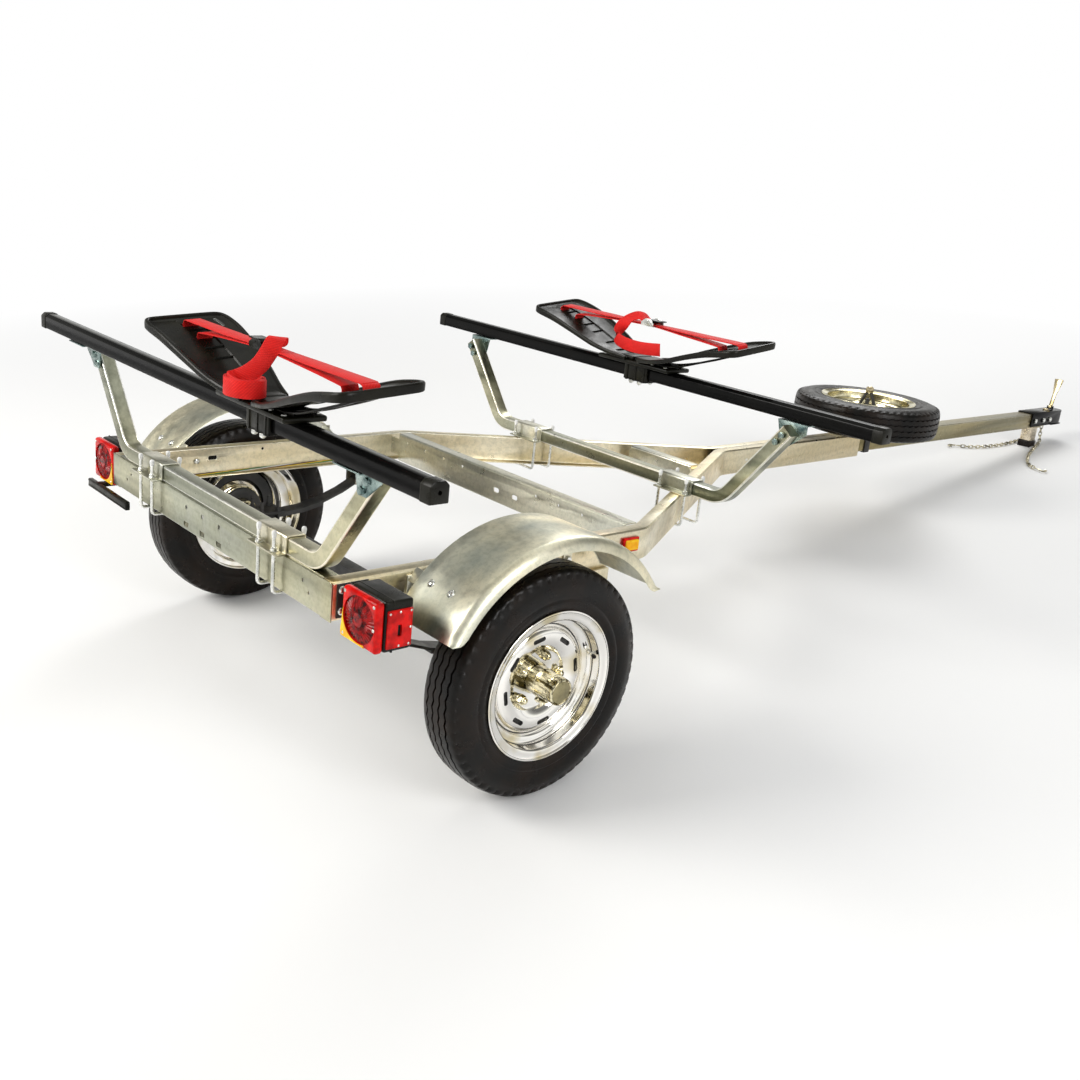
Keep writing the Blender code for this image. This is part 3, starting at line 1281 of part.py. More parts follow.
def lamp_housing_mesh(with_plate_bar):
    """Right lamp's black box with the ear that bolts to the rail; the left one also holds the plate bar."""
    front = LAMP_REAR + LENS_DEPTH + GAP
    box = block((LAMP_INNER, front, LAMP_BOTTOM),
                (LAMP_INNER + LAMP_WIDTH, front + LAMP_DEPTH, LAMP_TOP), LAMP_EASE)
    near, far = (front + place for place in LAMP_EAR_Y)
    low, high = LAMP_BOTTOM + LAMP_EAR_LOW, LAMP_TOP - LAMP_EAR_HIGH
    face = RAIL_OUT + GAP
    ear = block((face, near, low), (face + LAMP_EAR, far, high))
    across = front + LAMP_BRIDGE_Y
    bridge = block((face, across, low), (LAMP_INNER + LAMP_EASE, across + LAMP_EAR, high))
    box = fuse(box, ear, bridge)
    for z in (LAMP_BOTTOM + LAMP_BOLT_LOW, LAMP_TOP - LAMP_BOLT_HIGH):
        head = cylinder(LAMP_BOLT_RADIUS, face + LAMP_EAR / 2, face + LAMP_EAR + LAMP_BOLT_HEIGHT,
                        (front + LAMP_BOLT_Y, z), "X", 6)
        box = fuse(box, head)
    if with_plate_bar:
        box = fuse(box, *plate_bar_solids(front))
    return box


def plate_bar_solids(front):
    """The number plate's bar under a lamp, and the hook and stem that carry it."""
    right = LAMP_INNER + LAMP_WIDTH - PLATE_BAR_IN
    rear = LAMP_REAR - PLATE_BAR_BACK
    top = LAMP_BOTTOM - PLATE_BAR_UNDER
    bar = block((right - PLATE_BAR_LENGTH, rear, top - PLATE_BAR_HEIGHT),
                (right, rear + PLATE_BAR_DEPTH, top))
    left_side, right_side = (LAMP_INNER + place for place in PLATE_HOOK_X)
    hook = block((left_side, rear, top - PLATE_HOOK_HEIGHT), (right_side, front + PLATE_HOOK_REACH, top))
    stem = block((left_side, front + PLATE_HOOK_REACH / 3, top - PLATE_HOOK_HEIGHT),
                 (right_side, front + PLATE_HOOK_REACH, LAMP_BOTTOM + 2 * LAMP_EASE))
    return bar, hook, stem


def lens_mesh():
    """Right lamp's red lens with eased edges."""
    return block((LAMP_INNER, LAMP_REAR, LAMP_BOTTOM),
                 (LAMP_INNER + LAMP_WIDTH, LAMP_REAR + LENS_DEPTH, LAMP_TOP), LENS_EASE)


def marker_mesh():
    """Right side marker on the rail's web."""
    face = RAIL_OUT + GAP
    return block((face, MARKER_Y - MARKER_LENGTH / 2, MARKER_Z - MARKER_HEIGHT / 2),
                 (face + MARKER_DEPTH, MARKER_Y + MARKER_LENGTH / 2, MARKER_Z + MARKER_HEIGHT / 2), 0.003)


def carrier_mesh():
    """Spare carrier: a strap round the tongue, a post under the disc and a bracket over it on one bolt."""
    plate = CARRIER_PLATE
    side = TONGUE_SIZE / 2 + GAP
    top = TONGUE_TOP + GAP
    low = TONGUE_BOTTOM - GAP
    half_y = CARRIER_STRAP_HALF
    strap = block((-side - plate, SPARE_Y - half_y, low - plate),
                  (side + plate, SPARE_Y + half_y, top + plate))
    tunnel = block((-side, SPARE_Y - TUNNEL, low), (side, SPARE_Y + TUNNEL, top))
    strap = cut(strap, tunnel)
    pad = block((-CARRIER_HALF, SPARE_Y - CARRIER_HALF, top),
                (CARRIER_HALF, SPARE_Y + CARRIER_HALF, top + plate))
    seat = SPARE_MIDDLE - DISC_SEAT - GAP
    over = SPARE_MIDDLE - DISC_SEAT + DISC_PLATE + GAP
    half_post = CARRIER_POST / 2
    post = block((-half_post, SPARE_Y - half_post, top), (half_post, SPARE_Y + half_post, seat - plate / 2))
    head = cylinder(DISC_SEAT_RADIUS - 0.004, seat - plate, seat, (0.0, SPARE_Y), "Z", 12)
    bolt = cylinder(CARRIER_BOLT_RADIUS, seat - plate / 2, over + CARRIER_STEM, (0.0, SPARE_Y), "Z", 6)
    washer = cylinder(CARRIER_WASHER_RADIUS, over, over + plate, (0.0, SPARE_Y), "Z", 12)
    solid = fuse(strap, pad, post, head, bolt, washer)
    half_thick, half_wide = CARRIER_LEG_HALF
    for sign in (-1, 1):
        foot = sign * CARRIER_LEG_SPREAD
        tip = sign * CARRIER_LEG_MEET
        low_z = over + plate / 2
        high_z = over + CARRIER_LEG_RISE
        leg = prism([(foot - half_thick, low_z), (foot + half_thick, low_z), (tip + half_thick, high_z),
                     (tip - half_thick, high_z)], -half_wide, half_wide, "Y")
        leg = moved(leg, Matrix.Translation((0.0, SPARE_Y, 0.0)) @ Matrix.Rotation(CARRIER_TURN, 4, "Z"))
        solid = fuse(solid, leg)
    return solid


def coupler_outline(half, nose, rear):
    """Coupler seen from above: straight sides and a round nose."""
    points = [(-half, rear), (half, rear)]
    centre = nose - half
    for i in range(7):
        angle = math.pi * i / 6
        points.append((half * math.cos(angle), centre + half * math.sin(angle)))
    return points


def coupler_mesh():
    """The coupler: a pressed shell over the tongue's end, open below, with ears for its lever."""
    side = TONGUE_SIZE / 2 + GAP
    roof = TONGUE_TOP + GAP
    top = roof + COUPLER_WALL
    low = top - COUPLER_DEPTH
    shell = prism(coupler_outline(side + COUPLER_WALL, COUPLER_NOSE, COUPLER_REAR), low, top, "Z")
    lip = prism(coupler_outline(side + COUPLER_WALL + COUPLER_LIP, COUPLER_NOSE + COUPLER_LIP / 2, LIP_REAR),
                low, low + COUPLER_WALL, "Z")
    inside = coupler_outline(side, COUPLER_NOSE - COUPLER_WALL, COUPLER_REAR - TUNNEL)
    hollow = prism(inside, low - TUNNEL, roof, "Z")
    slot_half = JAW_STEM_HALF + 2 * GAP
    slot = block((-slot_half, JAW_Y - 0.012, roof - 0.01),
                 (slot_half, JAW_Y + 0.012 + JAW_TRAVEL, top + 0.01))
    shell = cut(fuse(shell, lip), hollow, slot)
    for s in (-1, 1):
        near = s * (LEVER_FOOT_WIDTH / 2 + GAP)
        far = near + s * COUPLER_WALL
        ear = block((min(near, far), LEVER_Y - 0.009, top - 0.001),
                    (max(near, far), LEVER_Y + 0.009, top + PIVOT_HEIGHT + 0.006))
        shell = fuse(shell, ear)
    pin = cylinder(LEVER_PIN_RADIUS, -LEVER_FOOT_WIDTH / 2 - 0.006, LEVER_FOOT_WIDTH / 2 + 0.006,
                   (LEVER_Y, top + PIVOT_HEIGHT), "X", 8)
    shell = fuse(shell, pin)
    out = side + COUPLER_WALL
    for y in coupler_bolt_places():
        shank = cylinder(BRACKET_BOLT_RADIUS, -out - 0.001, out + 0.001, (y, TONGUE_MIDDLE), "X")
        shell = fuse(shell, shank)
        for s in (-1, 1):
            near = s * (out - 0.001)
            far = s * (out + COUPLER_HEAD_HEIGHT)
            head = cylinder(COUPLER_BOLT_HEAD, min(near, far), max(near, far), (y, TONGUE_MIDDLE), "X", 6)
            shell = fuse(shell, head)
    lug = block((-side - 0.001, CHAIN_LUG_Y - 0.005, low), (side + 0.001, CHAIN_LUG_Y + 0.005, low + 0.008))
    return fuse(shell, lug)


def coupler_pivot_height():
    """Height of the lever's pin over the axle."""
    return TONGUE_TOP + GAP + COUPLER_WALL + PIVOT_HEIGHT


def lever_mesh():
    """The coupler's lever in axes on its pin, standing up."""
    half_foot = LEVER_FOOT_WIDTH / 2
    half_grip = LEVER_GRIP_WIDTH / 2
    outline = [(-half_foot, 0.0), (half_foot, 0.0), (half_foot, LEVER_UP * 0.45),
               (half_grip, LEVER_UP * 0.97), (half_grip * 0.9, LEVER_UP), (-half_grip * 0.9, LEVER_UP),
               (-half_grip, LEVER_UP * 0.97), (-half_foot, LEVER_UP * 0.45)]
    arm = prism(outline, -LEVER_PLATE / 2, LEVER_PLATE / 2, "Y")
    boss = cylinder(LEVER_BOSS_RADIUS, -half_foot, half_foot, (0.0, 0.0), "X", 12)
    bore = cylinder(LEVER_PIN_RADIUS + GAP, -TUNNEL, TUNNEL, (0.0, 0.0), "X", 8)
    return cut(fuse(arm, boss), bore)


def jaw_mesh():
    """The jaw that closes behind the ball, hung on a stem through the coupler's roof."""
    roof = TONGUE_TOP + GAP
    top = roof + COUPLER_WALL
    body = block((-JAW_HALF_WIDTH, JAW_Y - 0.006, roof - JAW_DEPTH),
                 (JAW_HALF_WIDTH, JAW_Y + 0.010, roof - GAP), 0.002)
    stem = block((-JAW_STEM_HALF, JAW_Y - 0.006, roof - 0.010),
                 (JAW_STEM_HALF, JAW_Y + 0.006, top + JAW_CAP_HEIGHT))
    cap = block((-0.011, JAW_Y - 0.007, top + GAP), (0.011, JAW_Y + 0.007, top + JAW_CAP_HEIGHT))
    return fuse(body, stem, cap)


def stand_mesh():
    """The stand's square leg under the tongue, with a flange at its top."""
    top = TONGUE_BOTTOM - GAP
    half = STAND_SIZE / 2
    outer, inner = square_tube_section(STAND_SIZE, TONGUE_WALL)
    low = top - STAND_LENGTH
    tube = hollow_loft([[(x, STAND_Y + y, z) for x, y in outer] for z in (low, top)],
                       [[(x, STAND_Y + y, z) for x, y in inner] for z in (low, top)])
    lip = half + STAND_FLANGE_LIP
    flange = block((-TONGUE_SIZE / 2, STAND_Y - lip, top - STAND_FLANGE),
                   (TONGUE_SIZE / 2, STAND_Y + lip, top))
    return fuse(tube, flange)


def foot_mesh():
    """The black shoe on the stand, cut so that its sole is level on the ground."""
    half = STAND_SIZE / 2
    top = FOOT_BOTTOM + FOOT_HEIGHT
    shoe = block((-half - FOOT_RIM, STAND_Y - half - FOOT_RIM, FOOT_BOTTOM - 0.03),
                 (half + FOOT_RIM, STAND_Y + half + FOOT_RIM, top + 0.010))
    pocket = block((-half - GAP, STAND_Y - half - GAP, top - GAP),
                   (half + GAP, STAND_Y + half + GAP, top + TUNNEL))
    ground = Matrix.Translation((0.0, STAND_Y + half, FOOT_BOTTOM)) @ Matrix.Rotation(LEAN, 4, "X")
    under = moved(block((-TUNNEL, -2 * TUNNEL, -2 * TUNNEL), (TUNNEL, 2 * TUNNEL, 0.0)), ground)
    return cut(shoe, pocket, under)


def hook_mesh():
    """A hook at a chain's end, in axes on the chain's last point, pointing along plus Y."""
    route = [Vector((0.0, GAP, 0.0)), Vector((0.0, 0.012, 0.0))]
    for i in range(8):
        angle = math.radians(200 * i / 7)
        across = HOOK_RADIUS * (math.cos(angle) - 1)
        route.append(Vector((across, HOOK_SHANK + HOOK_RADIUS * math.sin(angle), 0.0)))
    return rod(route, HOOK_WIRE, 6)


def build():
    """Make every piece and stand the trailer on the ground."""
    clear_scene()
    level = empty("ground_under_axle", (0.0, 0.0, 0.0))
    frame = empty("frame_axes", (0.0, 0.0, TYRE_RADIUS), level, (-LEAN, 0.0, 0.0))
    wheels = {side: empty("wheel_axis_" + side, (x, 0.0, TYRE_RADIUS), level)
              for side, x in (("left", -TRACK_HALF), ("right", TRACK_HALF))}

    right_rail = rail_mesh()
    piece("rail_left", mirrored(right_rail.copy()), "galvanised", frame)
    piece("rail_right", right_rail, "galvanised", frame)
    piece("rear_crossmember", rear_crossmember_mesh(), "galvanised", frame)
    piece("middle_crossmember", middle_crossmember_mesh(), "galvanised", frame)
    piece("front_crossmember", front_crossmember_mesh(), "galvanised", frame)
    piece("tongue", tongue_mesh(), "galvanised", frame)
    piece("stand_leg", stand_mesh(), "zinc", frame)
    piece("stand_foot", foot_mesh(), "rubber", frame)
    piece("coupler", coupler_mesh(), "black_steel", frame)
    lever_axes = empty("lever_axes", (0.0, LEVER_Y, coupler_pivot_height()), frame, (-LEVER_LEAN, 0.0, 0.0))
    piece("coupler_lever", lever_mesh(), "zinc", lever_axes)
    piece("coupler_jaw", jaw_mesh(), "zinc", frame)

    support = support_mesh()
    clamps = {True: clamp_mesh(True), False: clamp_mesh(False)}
    bracket = bar_bracket_mesh()
    bar = bar_mesh()
    base = saddle_base_mesh()
    wing = wing_mesh()
    tails = {"rear": REAR_TAIL, "front": FRONT_TAIL}
    buckle = buckle_mesh()
    buckle_lever = buckle_lever_mesh()
    for end, support_y, saddle_x, sense in (("rear", REAR_SUPPORT_Y, REAR_SADDLE_X, -1),
                                            ("front", FRONT_SUPPORT_Y, FRONT_SADDLE_X, 1)):
        at = (0.0, support_y, 0.0)
        piece(end + "_support", support.copy(), "galvanised", frame, at)
        for side, sign in (("left", -1), ("right", 1)):
            shape = clamps[end == "rear"].copy()
            if end == "rear":
                clamp_x = sign * CLAMP_X
            else:
                clamp_x = sign * (rail_outer_x(FRONT_SUPPORT_Y) - rail_width_across() / 2)
            piece(f"{end}_clamp_{side}", shape, "zinc", frame, (clamp_x, support_y, 0.0))
            shape = bracket.copy()
            if sign < 0:
                shape = mirrored(shape)
            if sense > 0:
                shape = mirrored(shape, 1)
            piece(f"{end}_bar_bracket_{side}", shape, "zinc", frame, at)
        bar_y = support_y + sense * BAR_OFFSET
        piece(end + "_load_bar", bar.copy(), "black_steel", frame, (0.0, bar_y, BAR_MIDDLE))
        saddle = (saddle_x, bar_y, BAR_MIDDLE)
        piece(end + "_saddle_base", base.copy(), "plastic", frame, saddle)
        piece(end + "_wing_right", wing.copy(), "saddle", frame, saddle)
        piece(end + "_wing_left", mirrored(wing.copy()), "saddle", frame, saddle)
        piece(end + "_strap", strap_mesh(tails[end], end == "rear"), "strap", frame, saddle)
        turn = (0.0, 0.0, 0.0) if end == "rear" else (0.0, 0.0, math.pi)
        piece(end + "_buckle", buckle.copy(), "zinc", frame, saddle, turn)
        pin_at = (saddle_x - sense * BUCKLE_X, bar_y, BAR_MIDDLE + buckle_pin_height())
        piece(end + "_buckle_lever", buckle_lever.copy(), "zinc", frame, pin_at, turn)

    tyre = tyre_mesh()
    rim = rim_mesh()
    hub = hub_mesh()
    for side, sign in (("left", -1), ("right", 1)):
        shapes = [("tyre_" + side, tyre.copy(), "rubber"), ("rim_" + side, rim.copy(), "chrome"),
                  ("hub_" + side, hub.copy(), "chrome")]
        for name, shape, kind in shapes:
            if sign < 0:
                shape = mirrored(shape)
            piece(name, shape, kind, wheels[side], smooth=True)
    spare_at = (0.0, SPARE_Y, SPARE_MIDDLE)
    upright = (0.0, math.pi / 2, 0.0)
    piece("spare_tyre", tyre, "rubber", frame, spare_at, upright, smooth=True)
    piece("spare_rim", rim, "chrome", frame, spare_at, upright, smooth=True)
    piece("spare_carrier", carrier_mesh(), "zinc", frame)

    piece("axle", axle_mesh(), "black_steel", frame)
    for side, sign in (("left", -1), ("right", 1)):
        piece("leaf_spring_" + side, leaf_spring_mesh(), "black_steel", frame, (sign * SPRING_X, 0.0, 0.0))
        shapes = [("fender_" + side, fender_mesh(), "galvanised"),
                  ("tail_lamp_" + side, lamp_housing_mesh(sign < 0), "plastic"),
                  ("tail_lens_" + side, lens_mesh(), "red_lens"),
                  ("side_marker_" + side, marker_mesh(), "amber_lens")]
        for name, shape, kind in shapes:
            if sign < 0:
                shape = mirrored(shape)
            piece(name, shape, kind, frame)

    chains = []
    for side, route in (("left", CHAIN_LEFT_ROUTE), ("right", CHAIN_RIGHT_ROUTE)):
        chains.append(cord("safety_chain_" + side, route, CHAIN_WIDTH / 2, "zinc", level, CHAIN_WIDTH * 2))
        end = Vector(route[-1])
        ahead = end - Vector(route[-2])
        turn = math.atan2(ahead.y, ahead.x) - math.pi / 2
        chains.append(piece("chain_hook_" + side, hook_mesh(), "zinc", level, end, (0.0, 0.0, turn)))
    wires = [(-RAIL_OUT + WIRE_INSET, y, RAIL_BOTTOM + RAIL_WALL + GAP + WIRE_RADIUS + wave)
             for y, wave in zip(WIRE_ROUTE_Y, WIRE_WAVES)]
    cord("wiring", wires, WIRE_RADIUS, "wire", frame, WIRE_RADIUS * 6)
    centre_on_origin(level, chains)


def centre_on_origin(level, loose):
    """Slide the trailer until the box of everything but the chains is centred over the origin."""
    bpy.context.view_layer.update()
    low = [math.inf] * 2
    high = [-math.inf] * 2
    for solid in bpy.context.scene.objects:
        if solid.type != "MESH" or solid in loose:
            continue
        for vertex in solid.data.vertices:
            place = solid.matrix_world @ vertex.co
            for axis in range(2):
                low[axis] = min(low[axis], place[axis])
                high[axis] = max(high[axis], place[axis])
    level.location = (-(low[0] + high[0]) / 2, -(low[1] + high[1]) / 2, 0.0)
    bpy.context.view_layer.update()
    print("axle at y", round(level.location.y, 6), "lean in degrees", round(math.degrees(LEAN), 4))


build()
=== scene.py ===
# %% [markdown]
# # A small road trailer for kayaks
# The solids of the trailer are already made, and come in here as a fixed frame.
# This lesson gives them the looks of the real thing: galvanised steel, chrome,
# rubber, moulded plastic and red webbing. Where a solid is too plain, a finer
# piece takes its place and rides on the same body.

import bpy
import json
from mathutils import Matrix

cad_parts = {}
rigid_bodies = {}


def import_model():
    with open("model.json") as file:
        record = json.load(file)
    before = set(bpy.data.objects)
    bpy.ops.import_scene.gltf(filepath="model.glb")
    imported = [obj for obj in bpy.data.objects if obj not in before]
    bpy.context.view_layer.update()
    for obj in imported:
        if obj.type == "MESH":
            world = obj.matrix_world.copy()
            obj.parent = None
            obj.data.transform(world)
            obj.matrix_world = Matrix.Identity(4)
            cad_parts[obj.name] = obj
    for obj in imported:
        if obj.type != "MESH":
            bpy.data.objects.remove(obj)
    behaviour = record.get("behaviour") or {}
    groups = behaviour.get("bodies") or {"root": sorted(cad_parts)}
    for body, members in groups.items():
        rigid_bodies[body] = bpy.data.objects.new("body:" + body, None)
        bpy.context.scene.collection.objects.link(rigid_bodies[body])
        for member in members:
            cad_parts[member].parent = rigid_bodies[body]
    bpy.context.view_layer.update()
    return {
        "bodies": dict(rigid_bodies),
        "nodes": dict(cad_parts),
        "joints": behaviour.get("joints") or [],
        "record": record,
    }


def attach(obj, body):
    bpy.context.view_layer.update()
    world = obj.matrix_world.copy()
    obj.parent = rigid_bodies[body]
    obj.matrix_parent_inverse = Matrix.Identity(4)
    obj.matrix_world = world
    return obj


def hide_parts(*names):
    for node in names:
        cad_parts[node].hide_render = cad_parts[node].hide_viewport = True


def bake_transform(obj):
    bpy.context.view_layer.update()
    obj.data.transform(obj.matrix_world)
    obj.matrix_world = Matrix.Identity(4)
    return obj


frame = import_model()

import json
import math

import bmesh
import bpy
from mathutils import Matrix, Vector

trailer = frame["nodes"]

# %% [markdown]
# ## The camera
# The photograph was taken from behind and to the right, a little above the
# trailer. The camera's place and turn were worked out from straight edges and
# round wheels, so it is set by its three axes: right, up and backwards.

# %% The camera's place and axes
EYE = Vector((2.3227, -3.1524, 1.456))
HEADING = math.radians(48.045)
PITCH = math.radians(-21.4145)
TILT = math.radians(1.967)
FOCAL_IN_PICTURES = 1150.06 / 1080
FILM_WIDTH = 36.0

flat = math.cos(PITCH)
forward = Vector((-math.sin(HEADING) * flat, math.cos(HEADING) * flat, math.sin(PITCH)))
level_right = Vector((math.cos(HEADING), math.sin(HEADING), 0.0))
level_up = level_right.cross(forward)
right = level_right * math.cos(TILT) + level_up * math.sin(TILT)
up = level_up * math.cos(TILT) - level_right * math.sin(TILT)


def put_in_scene(name, data):
    made = bpy.data.objects.new(name, data)
    bpy.context.scene.collection.objects.link(made)
    return made


lens = bpy.data.cameras.new("photo_camera")
lens.sensor_width = FILM_WIDTH
lens.lens = FILM_WIDTH * FOCAL_IN_PICTURES
lens.clip_end = 60.0
photographer = put_in_scene("photo_camera", lens)
turn = Matrix((right, up, -forward)).transposed().to_4x4()
photographer.matrix_world = Matrix.Translation(EYE) @ turn
bpy.context.scene.camera = photographer
print("camera looks along", [round(v, 3) for v in forward])

# %% [markdown]
# ## The trailer's own axes
# The frame leans nose down onto its stand, while the wheels stand upright.
# Most pieces are easiest to make in the frame's axes: x to the right, y along
# the rails from the axle and z square to them. One matrix takes them to the
# ground's axes.

# %% From frame axes to the ground's axes
LEAN = math.radians(5.5251)
WHEEL_RADIUS = 0.265
AXLE_BEHIND_MIDDLE = 1.670576
frame_axes = Matrix.Translation((0.0, -AXLE_BEHIND_MIDDLE, WHEEL_RADIUS)) @ Matrix.Rotation(-LEAN, 4, "X")
level_axes = Matrix.Translation((0.0, -AXLE_BEHIND_MIDDLE, 0.0))
print("hitch end at", [round(v, 3) for v in frame_axes @ Vector((0.0, 3.84, 0.2))])

# %% [markdown]
# ## Helpers for shapes
# A piece is made as a mesh and handed to one of the trailer's bodies. These
# helpers turn a list of points and faces into a piece, sweep a round wire
# along a route, and turn a profile about an axis as a lathe does.

# %% Turn a mesh into a piece that rides on a body
def shown(name, mesh, finish, body, axes=frame_axes, smooth=40.0):
    mesh.transform(axes)
    mesh.materials.append(finish)
    piece = put_in_scene(name, mesh)
    mesh.polygons.foreach_set("use_smooth", [True] * len(mesh.polygons))
    mesh.set_sharp_from_angle(angle=math.radians(smooth))
    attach(piece, body)
    return piece


# %% A piece shown in place of a solid, or beside it
def stand_in(name, mesh, finish, body, solid, axes=frame_axes, smooth=40.0):
    piece = shown(name, mesh, finish, body, axes, smooth)
    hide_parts(solid)
    return piece


def beside(name, mesh, finish, body, solid, axes=frame_axes, smooth=40.0):
    piece = shown(name, mesh, finish, body, axes, smooth)
    return piece


# %% A mesh from points and faces
def mesh_of(points, faces):
    mesh = bpy.data.meshes.new("shape")
    mesh.from_pydata([tuple(p) for p in points], [], faces)
    mesh.validate()
    return mesh


# %% Several meshes as one
def joined(meshes):
    points = []
    faces = []
    for mesh in meshes:
        first = len(points)
        points += [v.co.copy() for v in mesh.vertices]
        faces += [[first + i for i in p.vertices] for p in mesh.polygons]
        bpy.data.meshes.remove(mesh)
    return mesh_of(points, faces)


# %% A moved copy of a mesh
def placed(mesh, place):
    copy = mesh.copy()
    copy.transform(place)
    if place.determinant() < 0:
        copy.flip_normals()
    return copy


# %% The trailer's left side mirrors its right side
MIRROR_X = Matrix.Scale(-1.0, 4, (1.0, 0.0, 0.0))
SIDES = {"left": -1, "right": 1}


def on_side(mesh, outward):
    return placed(mesh, MIRROR_X) if outward < 0 else mesh.copy()


# %% Moves, and turns for a part that is made along plus x
UPWARD = Matrix.Rotation(math.radians(-90.0), 4, "Y")
DOWNWARD = Matrix.Rotation(math.radians(90.0), 4, "Y")
REARWARD = Matrix.Rotation(math.radians(-90.0), 4, "Z")


def moved(x, y, z):
    return Matrix.Translation((x, y, z))


# %% A smooth route through a few points
def smooth_route(points, steps):
    knots = [Vector(p) for p in points]
    knots = [2 * knots[0] - knots[1]] + knots + [2 * knots[-1] - knots[-2]]
    route = []
    for i in range(1, len(knots) - 2):
        a, b, c, d = knots[i - 1:i + 3]
        for step in range(steps):
            t = step / steps
            route.append(0.5 * (2 * b + (c - a) * t + (2 * a - 5 * b + 4 * c - d) * t * t
                                + (3 * b - a - 3 * c + d) * t ** 3))
    route.append(knots[-2])
    return route


# %% Length of a route, and points at even steps along it
def length_of(route):
    return sum((q - p).length for p, q in zip(route, route[1:]))


def even_points(route, count):
    lengths = [(q - p).length for p, q in zip(route, route[1:])]
    total = sum(lengths)
    points = []
    walked = 0.0
    at = 0
    for i in range(count):
        goal = total * i / (count - 1)
        while at < len(lengths) - 1 and walked + lengths[at] < goal:
            walked += lengths[at]
            at += 1
        points.append(route[at].lerp(route[at + 1], min(1.0, (goal - walked) / lengths[at])))
    return points


# %% The step from the point before a place on a route to the point after it
def step_at(route, i):
    return route[min(i + 1, len(route) - 1)] - route[max(i - 1, 0)]


# %% Side and up directions along a route
def carried_directions(route, closed=False):
    count = len(route)
    directions = []
    side = None
    for i in range(count):
        before = route[i - 1] if (i > 0 or closed) else route[i]
        after = route[(i + 1) % count] if (i < count - 1 or closed) else route[i]
        ahead = (after - before).normalized()
        if side is None:
            guess = Vector((0.0, 0.0, 1.0)) if abs(ahead.z) < 0.8 else Vector((0.0, 1.0, 0.0))
            side = ahead.cross(guess).normalized()
        side = (side - ahead * side.dot(ahead)).normalized()
        directions.append((side, ahead.cross(side), ahead))
    return directions


# %% Faces between rings of points, with a lid on each end unless the rings meet
def skin(rings, count, meet=False):
    faces = []
    for i in range(rings if meet else rings - 1):
        a, b = i * count, (i + 1) % rings * count
        faces += [[a + k, a + (k + 1) % count, b + (k + 1) % count, b + k] for k in range(count)]
    if not meet:
        faces += [list(range(count))[::-1], [(rings - 1) * count + k for k in range(count)]]
    return faces


# %% A round wire along a route
def wire(route, radius, sides, closed=False):
    points = []
    for p, (side, rise, _) in zip(route, carried_directions(route, closed)):
        for k in range(sides):
            angle = 2 * math.pi * k / sides
            points.append(p + side * (radius * math.cos(angle)) + rise * (radius * math.sin(angle)))
    return mesh_of(points, skin(len(route), sides, closed))


# %% [markdown]
# ## The hitch chains
# Two safety chains hang from the coupler and lie on the ground. Nothing holds
# them but their own weight, so each one's route is settled first. A tube would
# show as a plain hose; real links are bent from round wire and each is turned a
# quarter from the last, so one link is made and copied along the route.

# %% Where the chains run, in level axes from the axle
CHAIN_WIDTH = 0.016
ROUTE_STEPS = 24
chain_routes = {
    "right": [
        (0.013, 3.6902, 0.0886), (0.013, 3.6875, 0.0606), (0.014, 3.688, 0.0340),
        (0.019, 3.682, 0.0170), (0.027, 3.660, 0.0095), (0.040, 3.622, 0.0085),
        (0.060, 3.552, 0.0085), (0.081, 3.479, 0.0085), (0.103, 3.416, 0.0085),
        (0.128, 3.358, 0.0085), (0.156, 3.304, 0.0085), (0.190, 3.268, 0.0085),
        (0.230, 3.252, 0.0085),
    ],
    "left": [
        (-0.013, 3.6902, 0.0886), (-0.013, 3.6875, 0.0606), (-0.016, 3.689, 0.0340),
        (-0.024, 3.684, 0.0170), (-0.035, 3.662, 0.0095), (-0.047, 3.618, 0.0085),
        (-0.051, 3.550, 0.0085), (-0.060, 3.480, 0.0085), (-0.078, 3.412, 0.0085),
        (-0.106, 3.350, 0.0085), (-0.140, 3.308, 0.0085), (-0.178, 3.288, 0.0085),
    ],
}
chain_lines = {side: smooth_route(route, ROUTE_STEPS) for side, route in chain_routes.items()}
for side, line in chain_lines.items():
    print(side, "chain is", round(length_of(line), 3), "m long")

# %% One link of bent wire
LINK_WIRE = 0.0021
LINK_LENGTH = 0.0265
LINK_STEP = LINK_LENGTH - 4.4 * LINK_WIRE


def link_mesh():
    bend = CHAIN_WIDTH / 2 - LINK_WIRE
    straight = LINK_LENGTH / 2 - CHAIN_WIDTH / 2
    route = []
    for end in (1, -1):
        for i in range(7):
            angle = math.pi * i / 6 - math.pi / 2
            along = straight + bend * math.cos(angle)
            route.append(Vector((end * along, end * bend * math.sin(angle), 0.0)))
    return wire(route, LINK_WIRE, 7, closed=True)


# %% The links of a whole chain
def chain_mesh(line):
    length = length_of(line)
    count = round((length - LINK_LENGTH) / LINK_STEP) + 1
    start = LINK_LENGTH / 2 / length
    steps = 20 * count
    middles = even_points(line, steps + 1)
    directions = carried_directions(middles)
    link = link_mesh()
    links = []
    for i in range(count):
        at = round((start + (1 - 2 * start) * i / (count - 1)) * steps)
        side, rise, ahead = directions[at]
        facing = Matrix((ahead, side, -rise)).transposed().to_4x4()
        quarter = Matrix.Rotation(math.radians(45 + 90 * (i % 2)), 4, "X")
        links.append(placed(link, Matrix.Translation(middles[at]) @ facing @ quarter))
    print(count, "links on", round(length, 3), "m")
    return joined(links)


# %% [markdown]
# ## Finishes
# Every finish is worked out from the surface's own place in metres, so the
# grain has its true size on every piece. Three small helpers keep the node
# trees short: one starts a finish, one adds a node, one turns a grey pattern
# into a range of values.

